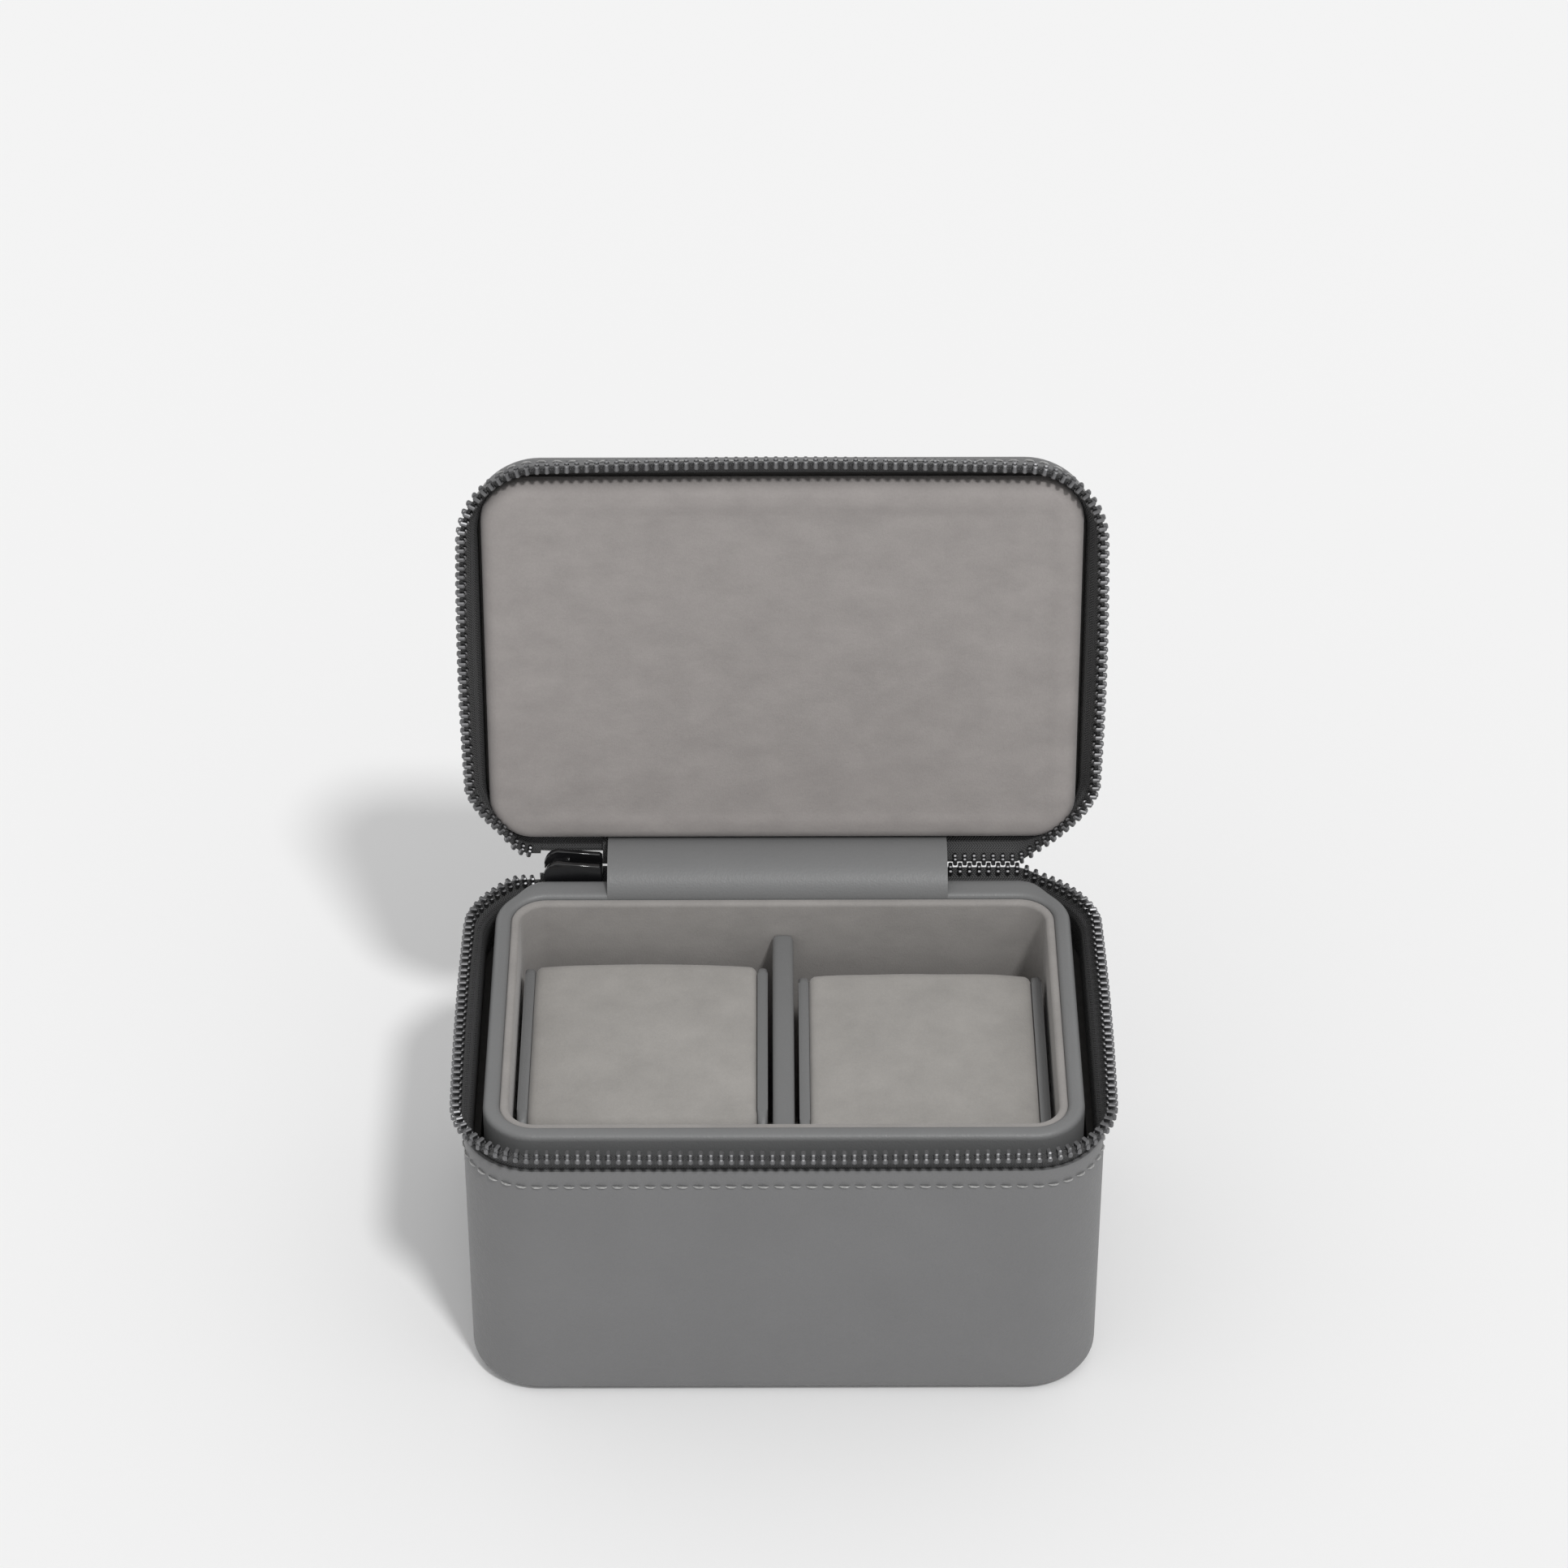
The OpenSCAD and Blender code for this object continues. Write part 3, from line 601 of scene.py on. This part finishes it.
# Stitches run round the outline, but not behind the outer strip
def seamRow(z):
    reach = stitchSet["thread"] / 2
    outline = (halfX + reach, halfY + reach, case["cornerRadius"] + reach)
    marks = []
    for i in range(1, int(outlineLength(*outline) / stitchSet["pitch"])):
        point, _ = outlinePlace(stitchSet["pitch"] * i, *outline)
        if not (point.y > halfY and abs(point.x) < stripHalf + stitchSet["length"]):
            marks.append(stitchSet["pitch"] * i)
    return repeatShape(stitch, outline, z, marks)


stitch = stitchShape()
lidStitchZ = lidEdge + stitchSet["aboveEdge"] - stitchSet["thread"] / 2
bm = seamRow(bodyTop - boxSet["stitchIn"])
finished("boxStitches", bm, threadStuff, "base", ["base_stitches"], 60)
bm = seamRow(lidStitchZ)
bm.transform(openLid)
finished("lidStitches", bm, threadStuff, "lid", ["lid_stitches"], 60)
stitch.free()
print("stitches ready")

traySet = {"outerRound": 1.425 * mm, "innerRound": 1.045 * mm, "liningOuter": 0.56 * mm,
           "liningInner": 1.04 * mm, "thin": 0.8 * mm, "innerCorner": 0.2 * mm, "lining": 2 * mm,
           "dividerRound": 1.3 * mm, "notch": 4.6 * mm, "notchIn": 0.3 * mm, "notchSlack": 0.1 * mm,
           "notchAbove": 1 * mm, "backOut": 2 * mm, "backUp": 0.8 * mm, "backOver": 5 * mm,
           "backLow": 6 * mm, "backHigh": 4 * mm, "innerShare": 0.4}
collarLow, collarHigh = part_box("tray_collar_leather")
liningLow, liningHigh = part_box("tray_wall_lining")
floorLow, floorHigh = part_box("tray_floor_lining")
boardLow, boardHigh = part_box("tray_board")
collarOut, collarIn = collarHigh.y - halfY, liningHigh.y - halfY
innerOut = collarIn - traySet["lining"]
collarTop, collarFoot = collarHigh.z, collarLow.z
notchHalf = stripHalf - traySet["notchIn"]
rightEnd, leftEnd = notchHalf + stripShift, loopTotal - notchHalf + stripShift
notchMarks = [rightEnd, rightEnd + traySet["notchIn"], leftEnd - traySet["notchIn"], leftEnd]


# The collar and its board are cut lower at the back, where the strip passes over them
def stripNotch(point, out, z):
    behind = out.y > 0.9 and abs(point.x - stripShift) < notchHalf + traySet["notchSlack"]
    cut = behind and z > collarFoot + traySet["notchAbove"]
    return Vector((0, 0, -traySet["notch"])) if cut else still


bm = bmesh.new()
thin = traySet["thin"]
outerR, innerR, bendR = traySet["outerRound"], traySet["innerRound"], traySet["innerCorner"]
collarLine = softened([(collarOut, collarFoot), (collarOut, collarTop), (collarIn, collarTop),
                       (collarIn, collarFoot), (collarIn + thin, collarFoot),
                       (collarIn + thin, collarTop - thin), (collarOut - thin, collarTop - thin),
                       (collarOut - thin, collarFoot)],
                      [0, outerR, innerR, 0, 0, bendR, bendR, 0], 5)
sweep(bm, collarLine, arcSteps=14, move=stripNotch, extra=notchMarks)
for v in bm.verts:  # the roll stands back and up along the back wall
    back = smooth((v.co.y - halfY - collarOut + traySet["backOver"]) / traySet["backOver"])
    back *= smooth((v.co.z - collarTop + traySet["backLow"]) / traySet["backHigh"])
    outer = smooth((v.co.y - halfY - collarIn) / (collarOut - collarIn))
    v.co.y += traySet["backOut"] * back * outer
    v.co.z += traySet["backUp"] * back * (traySet["innerShare"] * (1 - outer) + outer)
finished("collarLeather", bm, thinLeather, "base", ["tray_collar_leather"], 40)

bm = bmesh.new()
boardOut = boardHigh.y - halfY
boardLine = [(boardOut, boardLow.z), (boardOut, boardHigh.z), (collarIn + thin, boardHigh.z),
             (collarIn + thin, boardLow.z)]
sweep(bm, boardLine, arcSteps=10, move=stripNotch, extra=notchMarks)
finished("trayBoard", bm, boardStuff, "base", ["tray_board"], 40)

bm = bmesh.new()
liningLine = softened([(collarIn, liningLow.z), (collarIn, liningHigh.z), (innerOut, liningHigh.z),
                       (innerOut, liningLow.z)], [0, traySet["liningOuter"], traySet["liningInner"], 0], 5)
sweep(bm, liningLine, arcSteps=14)
finished("wallLining", bm, suedeLining, "base", ["tray_wall_lining"], 40)

bm = bmesh.new()
skinRings(bm, [ringAt(bm, collarIn, floorLow.z, 10), ringAt(bm, collarIn, floorHigh.z, 10)])
finished("floorLining", bm, suedeLining, "base", ["tray_floor_lining"], 40)

bm = bmesh.new()
softBlock(bm, *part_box("divider_leather"), traySet["dividerRound"], 4)
finished("dividerLeather", bm, thinLeather, "base", ["divider_leather", "divider_board"], 40)
print("tray ready")

cushionSet = {"steps": 30, "corner": 4.2 * mm, "cornerSteps": 8, "faceSteps": 12, "drawn": 0.6 * mm,
              "full": 0.5 * mm, "dent": 0.22 * mm, "dentsPerMetre": 90, "endFrom": 0.95,
              "endIn": 0.9 * mm, "seed": {"left": 3, "right": 8}, "plateSteps": 8,
              "plateCorner": 5 * mm, "plateRound": 0.8 * mm}


# Points of a rounded rectangle, [a, b, share of fullness], with the faces cut up finely
def roundRing(halfA, halfB):
    corner, cornerSteps, faceSteps = cushionSet["corner"], cushionSet["cornerSteps"], cushionSet["faceSteps"]
    ring = []
    for quarter in range(4):
        c, s = math.cos(math.pi / 2 * quarter), math.sin(math.pi / 2 * quarter)
        ha, hb = (halfA, halfB) if quarter % 2 == 0 else (halfB, halfA)
        spots = []
        for i in range(faceSteps):
            u = i / faceSteps * 2 - 1
            spots.append((ha, u * (hb - corner), 1 - u * u))
        for i in range(cornerSteps):
            a = math.pi / 2 * i / cornerSteps
            spots.append((ha - corner + corner * math.cos(a), hb - corner + corner * math.sin(a), 0))
        for a, b, share in spots:
            ring.append((a * c - b * s, a * s + b * c, share))
    return ring


# Closed soft roll between two corners, a little full on its faces and drawn in at its ends
def pillowMesh(low, high, seed):
    bm = bmesh.new()
    size, middle = high - low, (high + low) / 2
    rings = []
    for i in range(cushionSet["steps"] + 1):
        u = 0.5 - 0.5 * math.cos(math.pi * i / cushionSet["steps"])
        away = abs(2 * u - 1)
        edge = max(0.0, (away - cushionSet["endFrom"]) / (1 - cushionSet["endFrom"]))
        inset = cushionSet["drawn"] * away ** 3 + cushionSet["endIn"] * edge ** 2
        ring = []
        for a, b, share in roundRing(size.y / 2 - inset, size.z / 2 - inset):
            spot = Vector((size.x * (u - 0.5), a, b))
            soft = noise.noise(spot * cushionSet["dentsPerMetre"] + Vector((seed, 0, 0)))
            soft *= cushionSet["dent"] * (1 - edge)
            fullness = cushionSet["full"] * share * (1 - away ** 4)
            spot += Vector((0, a, b)).normalized() * (fullness + soft)
            ring.append(bm.verts.new(middle + spot))
        rings.append(ring)
    skinRings(bm, rings)
    return bm


for side in ("left", "right"):
    bm = pillowMesh(*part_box(side + "_cushion_cover"), cushionSet["seed"][side])
    cover = finished(side + "Cushion", bm, suedeCushion, side + "_cushion",
                     [side + "_cushion_cover", side + "_cushion_foam"], 50)
    for end in ("outer", "inner"):
        low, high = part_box(side + "_cushion_" + end + "_plate")
        bm = bmesh.new()
        corner = cushionSet["plateCorner"]
        plateSteps = cushionSet["plateSteps"]
        outline = []
        for cy, cz, first in ((high.y - corner, high.z - corner, 0), (low.y + corner, high.z - corner, 90),
                              (low.y + corner, low.z + corner, 180), (high.y - corner, low.z + corner, 270)):
            angles = [math.radians(first + 90 * k / plateSteps) for k in range(plateSteps + 1)]
            outline += arcPoints(cy, cz, corner, angles)
        prism(bm, outline, "x", low.x, high.x, cushionSet["plateRound"], 3)
        finished(side + "Plate" + end.capitalize(), bm, thinLeather, side + "_cushion",
                 [side + "_cushion_" + end + "_plate"], 40)
print("cushions ready")

lidSet = {"wall": 2 * mm, "round": 8 * mm, "edgeRound": 0.5 * mm, "stitchDip": 0.22 * mm,
          "groove": ((-0.9, 0.5), (-0.35, 0.95), (0, 1), (0.35, 0.95), (0.9, 0.5)),  # as the box's
          "fillerIn": 8.15 * mm, "fillerGap": 1.75 * mm, "fillerLow": 3 * mm, "fillerRound": 0.6 * mm}
# The border is given as mm in from the rounded rim and mm behind the panel's face
panelSet = {"inset": 2.7 * mm, "lift": 1.5 * mm, "edge": 3.2 * mm, "back": 2 * mm, "corner": 10 * mm,
            "border": ((1.2, -0.10), (2.4, -0.05), (3.4, 0.18), (4.6, 0.32), (6.4, 0.36))}
lidTop = lidEdge + lidSet["wall"] + lidSet["round"]

bm = bmesh.new()
t, big, e = case["leather"], lidSet["round"], lidSet["edgeRound"]
profile = [(-big, lidTop - t)]
profile += [(-big + (big - t) * math.sin(a), lidTop - big + (big - t) * math.cos(a))
            for a in turns(10, 91, 10)]
profile += [(-t, lidEdge + e), (-t + e * 0.2, lidEdge + e * 0.2), (-t * 0.5, lidEdge),
            (-e * 0.5, lidEdge + e * 0.12), (-e * 0.15, lidEdge + e * 0.6), (0, lidEdge + e * 1.6)]
profile += [(-lidSet["stitchDip"] * depth, lidStitchZ + offset * mm) for offset, depth in lidSet["groove"]]
profile += [(-big + big * math.sin(a), lidTop - big + big * math.cos(a)) for a in turns(80, -1, -8)]
skinRings(bm, [ringAt(bm, out, z) for out, z in profile])
bm.transform(openLid)
finished("lidLeather", bm, leather, "lid", ["lid_leather"], 40)

# The panel faces down when the lid is closed: rounded at the rim, then a border and a slightly sunk field
bm = bmesh.new()
panelZ = zipLine + panelSet["lift"]
edge = panelSet["edge"]
levels = [(0, panelZ + edge + panelSet["back"])]
levels += [(-edge * (1 - math.cos(a)), panelZ + edge * (1 - math.sin(a))) for a in turns(0, 91, 10)]
levels += [(-edge - inset * mm, panelZ + rise * mm) for inset, rise in panelSet["border"]]
panelX, panelY = halfX - panelSet["inset"], halfY - panelSet["inset"]
skinRings(bm, [ringAt(bm, out, z, 14, panelX, panelY, panelSet["corner"]) for out, z in levels])
bm.transform(openLid)
panel = finished("lidPanel", bm, suedePanel, "lid", ["lid_panel_suede", "lid_panel_foam"], 50)

bm = bmesh.new()
e, fillerOut = lidSet["fillerRound"], -lidSet["fillerIn"]
fillerBack, fillerTop = panelZ + edge + lidSet["fillerGap"], lidTop - lidSet["fillerLow"]
skinRings(bm, [ringAt(bm, out, z, 10) for out, z in ((fillerOut - e, fillerBack), (fillerOut, fillerBack + e),
                                                     (fillerOut, fillerTop - e), (fillerOut - e, fillerTop))])
bm.transform(openLid)
finished("lidFiller", bm, foamStuff, "lid", ["lid_filler_foam"], 60)
print("lid ready")

# The roll's two handles are given as mm back and mm up
stripSet = {"thickness": 0.9 * mm, "steps": 22, "across": 14,
            "footLow": 2.4 * mm, "footUp": 1.6 * mm, "rollUp": (-0.3, 6), "rollTop": (-4.6, 1.9),
            "tuck": 1 * mm, "outerLead": 5 * mm}


def curvePoint(p, t):
    s = 1 - t
    return p[0] * s ** 3 + p[1] * (3 * s ** 2 * t) + p[2] * (3 * s * t * t) + p[3] * t ** 3


# Strip of even thickness along a line of (y, z) points, across the back
def ribbon(line):
    bm = bmesh.new()
    n = len(line)
    half = stripSet["thickness"] / 2
    rows = []
    for i in range(n):
        d = (line[min(i + 1, n - 1)] - line[max(i - 1, 0)]).normalized()
        normal = Vector((-d.y, d.x)) * half
        rows.append((line[i] + normal, line[i] - normal))
    across = stripSet["across"]
    xs = [stripShift - stripHalf + 2 * stripHalf * i / across for i in range(across + 1)]
    upper = [[bm.verts.new((x, a.x, a.y)) for x in xs] for a, _ in rows]
    lower = [[bm.verts.new((x, b.x, b.y)) for x in xs] for _, b in rows]
    for i in range(n - 1):
        for k in range(across):
            bm.faces.new((upper[i][k], upper[i][k + 1], upper[i + 1][k + 1], upper[i + 1][k]))
            bm.faces.new((lower[i][k], lower[i + 1][k], lower[i + 1][k + 1], lower[i][k + 1]))
        for k in (0, across):
            bm.faces.new((upper[i][k], upper[i + 1][k], lower[i + 1][k], lower[i][k]))
    for i in (0, n - 1):
        for k in range(across):
            bm.faces.new((upper[i][k], lower[i][k], lower[i][k + 1], upper[i][k + 1]))
    return bm


def lidPoint(y, z):
    p = openLid @ Vector((0, y, z))
    return Vector((p.y, p.z))


# The inner strip rises out of the gap behind the lining, rolls over and dives behind the panel's edge
half, steps = stripSet["thickness"] / 2, stripSet["steps"]
edgeY = halfY - panelSet["inset"] + half + 2 * case["slack"]
top = lidPoint(edgeY, panelZ + edge / 2)
tuck = lidPoint(edgeY, panelZ + edge + stripSet["tuck"])
foot = Vector((halfY + collarIn + half + case["slack"], liningHigh.z - stripSet["footLow"]))
rise = foot + Vector((0, stripSet["footUp"]))
corners = [rise, rise + Vector(stripSet["rollUp"]) * mm, top + Vector(stripSet["rollTop"]) * mm, top]
line = [foot] + [curvePoint(corners, i / steps) for i in range(steps + 1)] + [tuck]
bm = ribbon(line)
innerStrip = finished("innerStrip", bm, thinLeather, None, ["hinge_strip_inner"], 40)
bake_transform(innerStrip)

# The outer strip lies on the back wall and bends up along the lid
wallY = halfY + half + case["slack"]
foot = Vector((wallY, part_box("hinge_strip_outer")[0].z))
brim = Vector((wallY, bodyTop))
lidBrim = lidPoint(wallY, lidEdge)
lidEnd = lidPoint(wallY, lidEdge + lidSet["wall"])
alongLid = (lidEnd - lidBrim).normalized()
lead = stripSet["outerLead"]
corners = [brim, brim + Vector((0, lead)), lidBrim - alongLid * lead, lidBrim]
line = [foot, foot.lerp(brim, 0.5)] + [curvePoint(corners, i / steps) for i in range(steps + 1)] + [lidEnd]
bm = ribbon(line)
outerStrip = finished("outerStrip", bm, thinLeather, None, ["hinge_strip_outer"], 40)
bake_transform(outerStrip)
print("strips ready")

sliderSet = {"jaw": 3.4 * mm, "plate": 1.2 * mm, "plateRound": 0.32 * mm, "tailIn": 1 * mm,
             "tailCut": 0.6 * mm, "bellyFrom": 3.2 * mm, "belly": 0.35 * mm, "neckLength": 4 * mm,
             "neckHeight": 2.4 * mm, "neckInto": 0.2 * mm, "neckRound": 0.3 * mm, "earT": 1.2 * mm,
             "earR": 1.4 * mm, "earInto": 0.1 * mm, "earRound": 0.22 * mm, "barR": 0.8 * mm,
             "barPast": 0.4 * mm}
linkSet = {"width": 5 * mm, "thickness": 1.4 * mm, "rim": 1 * mm, "slot": 2 * mm, "play": 0.06 * mm,
           "side": 0.3 * mm, "eyeWall": 0.9 * mm, "eyeSides": 28, "eyeGap": 0.1 * mm, "soft": 0.2 * mm,
           "footSoft": 0.3 * mm, "into": 0.2 * mm, "over": 0.3 * mm}
bar = Vector(joints["pull_swing"]["pos_m"])
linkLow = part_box("pull_link")[0]
tabLow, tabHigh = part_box("pull_tab")

bm = bmesh.new()
nose = (sliderHigh.z - sliderLow.z) / 2
noseX, tail, cut = sliderLow.x + nose, sliderHigh.x, sliderSet["tailCut"]
lowZ, highZ = zipLine - nose + sliderSet["tailIn"], zipLine + nose - sliderSet["tailIn"]
bellyX = noseX + sliderSet["bellyFrom"]
outline = arcPoints(noseX, zipLine, nose, turns(100, 261, 10))
outline += [(bellyX, lowZ - sliderSet["belly"]), (tail - cut, lowZ), (tail, lowZ + cut), (tail, highZ - cut),
            (tail - cut, highZ), (bellyX, highZ + sliderSet["belly"])]
for face in (-1, 1):
    inY = zipHy + face * sliderSet["jaw"] / 2
    prism(bm, outline, "y", inY, inY + face * sliderSet["plate"], sliderSet["plateRound"], 3)
neck = Vector((sliderSet["neckLength"] / 2, sliderSet["jaw"] / 2 + sliderSet["neckInto"],
               sliderSet["neckHeight"] / 2))
middle = Vector((noseX, zipHy, zipLine))
softBlock(bm, middle - neck, middle + neck, sliderSet["neckRound"], 2)
plateFace = zipHy + sliderSet["jaw"] / 2 + sliderSet["plate"] - sliderSet["earInto"]
earX = linkSet["width"] / 2 + linkSet["side"]
earR = sliderSet["earR"]
outline = [(plateFace, bar.z - earR)]
outline += arcPoints(bar.y, bar.z, earR, turns(-90, 91, 15))
outline.append((plateFace, bar.z + earR))
for end in (-1, 1):
    inX = bar.x + end * earX
    prism(bm, outline, "x", inX, inX + end * sliderSet["earT"], sliderSet["earRound"])
barEnd = earX + sliderSet["barPast"]
outline = arcPoints(bar.y, bar.z, sliderSet["barR"], turns(0, 360, 15))
prism(bm, outline, "x", bar.x - barEnd, bar.x + barEnd, 0)
finished("zipSlider", bm, blackGloss, "slider", ["zip_slider"], 35)

# The link: an eye round the bar, two sides and a foot bar that leave a slot for the tab
bm = bmesh.new()
w, rim, halfT = linkSet["width"] / 2, linkSet["rim"], linkSet["thickness"] / 2
holeR = sliderSet["barR"] + linkSet["play"]
upright = Matrix.Translation(bar - Vector((w, 0, 0))) @ Matrix.Rotation(math.pi / 2, 4, "Y")
for radius in (holeR, holeR + linkSet["eyeWall"]):
    bmesh.ops.create_circle(bm, segments=linkSet["eyeSides"], radius=radius, matrix=upright)
ring = bmesh.ops.bridge_loops(bm, edges=bm.edges)["faces"]
pushed = bmesh.ops.extrude_face_region(bm, geom=ring, use_keep_orig=True)["geom"]
bmesh.ops.translate(bm, vec=(2 * w, 0, 0), verts=[v for v in pushed if isinstance(v, bmesh.types.BMVert)])
slotLow = linkLow.z + rim
slotHigh = slotLow + linkSet["slot"]
underBar = bar.z - holeR - linkSet["eyeGap"]
frontY, backY = bar.y - halfT, bar.y + halfT
softBlock(bm, (bar.x - w, frontY, slotHigh), (bar.x + w, backY, underBar), linkSet["soft"], 2)
softBlock(bm, (bar.x - w, frontY, linkLow.z), (bar.x + w, backY, slotLow), linkSet["footSoft"], 2)
for end in (-1, 1):
    softBlock(bm, (bar.x + end * w, frontY, linkLow.z + linkSet["into"]),
              (bar.x + end * (w - rim), backY, slotHigh + linkSet["over"]), linkSet["soft"], 2)
finished("pullLink", bm, steel, "pull", ["pull_link"], 35)

# The leather tab: a flat tongue whose head is folded through the link's slot
tabSet = {"halfT": 0.9 * mm, "endRound": 2.6 * mm, "headRound": 1.6 * mm, "rimRound": 0.35 * mm,
          "play": 0.15 * mm, "foldT": 0.7 * mm, "foldDown": 3 * mm, "foldTop": 1.1 * mm,
          "foldReach": 0.4 * mm, "foldSide": 0.3 * mm, "foldRound": 0.25 * mm, "foldTopRound": 0.3 * mm}
bm = bmesh.new()
tabTop = tabHigh.z - tabSet["foldTop"] - tabSet["play"] - rim - tabSet["foldReach"]
outline = softened([(tabLow.x, tabLow.z), (tabHigh.x, tabLow.z), (tabHigh.x, tabTop), (tabLow.x, tabTop)],
                   [tabSet["endRound"], tabSet["endRound"], tabSet["headRound"], tabSet["headRound"]], 6)
prism(bm, outline, "y", bar.y - tabSet["halfT"], bar.y + tabSet["halfT"], tabSet["rimRound"], 3)
tongue = (linkSet["width"] - 2 * rim - tabSet["foldSide"]) / 2
for face in (-1, 1):
    inY = bar.y + face * (halfT + tabSet["play"])
    softBlock(bm, (bar.x - tongue, inY, tabTop - tabSet["foldDown"]),
              (bar.x + tongue, inY + face * tabSet["foldT"], tabHigh.z), tabSet["foldRound"], 2)
foldY = halfT + tabSet["foldReach"]
softBlock(bm, (bar.x - tongue, bar.y - foldY, tabHigh.z - tabSet["foldTop"]),
          (bar.x + tongue, bar.y + foldY, tabHigh.z), tabSet["foldTopRound"], 2)
finished("pullTab", bm, thinLeather, "pull", ["pull_tab"], 40)
print("slider and pull ready")

stageSet = {"floor": (0.905, 0.905, 0.905), "world": 0.65, "sun": 1.32, "sunAngle": 7,
            "towardsLight": Vector((0.30, -0.59, 1.0)), "floorHalf": 6}
scene = bpy.context.scene
scene.view_settings.view_transform = "Standard"
world = bpy.data.worlds.new("world")
scene.world = world
world.use_nodes = True
world.node_tree.nodes["Background"].inputs["Color"].default_value = (1, 1, 1, 1)
world.node_tree.nodes["Background"].inputs["Strength"].default_value = stageSet["world"]
sun = bpy.data.lights.new("sun", "SUN")
sun.energy = stageSet["sun"]
sun.angle = math.radians(stageSet["sunAngle"])
sunObject = bpy.data.objects.new("sun", sun)
sunObject.rotation_euler = stageSet["towardsLight"].to_track_quat("Z", "Y").to_euler()
scene.collection.objects.link(sunObject)

floorMaterial = Nodes("floorPaint", stageSet["floor"], 1.0)
floorMaterial.shader.inputs["Specular IOR Level"].default_value = 0
bm = bmesh.new()
bmesh.ops.create_grid(bm, x_segments=1, y_segments=1, size=stageSet["floorHalf"])
floor = finished("floorPlane", bm, floorMaterial.material)

# Place in mm, turns in degrees, focal length in pixels of the photo
view = {"place": (-2.95, -844.09, 773.18), "pitch": 37.11, "yaw": 0.21, "focal": 6067.75, "photoWidth": 1932,
        "sensor": 36}
camera = bpy.data.cameras.new("camera")
camera.sensor_fit = "HORIZONTAL"
camera.sensor_width = view["sensor"]
camera.lens = view["focal"] / view["photoWidth"] * view["sensor"]
camera.clip_end = 50
cameraObject = bpy.data.objects.new("camera", camera)
cameraObject.location = Vector(view["place"]) * mm
cameraObject.rotation_euler = (math.radians(90 - view["pitch"]), 0, math.radians(-view["yaw"]))
scene.collection.objects.link(cameraObject)
scene.camera = cameraObject

print("stage and camera ready")
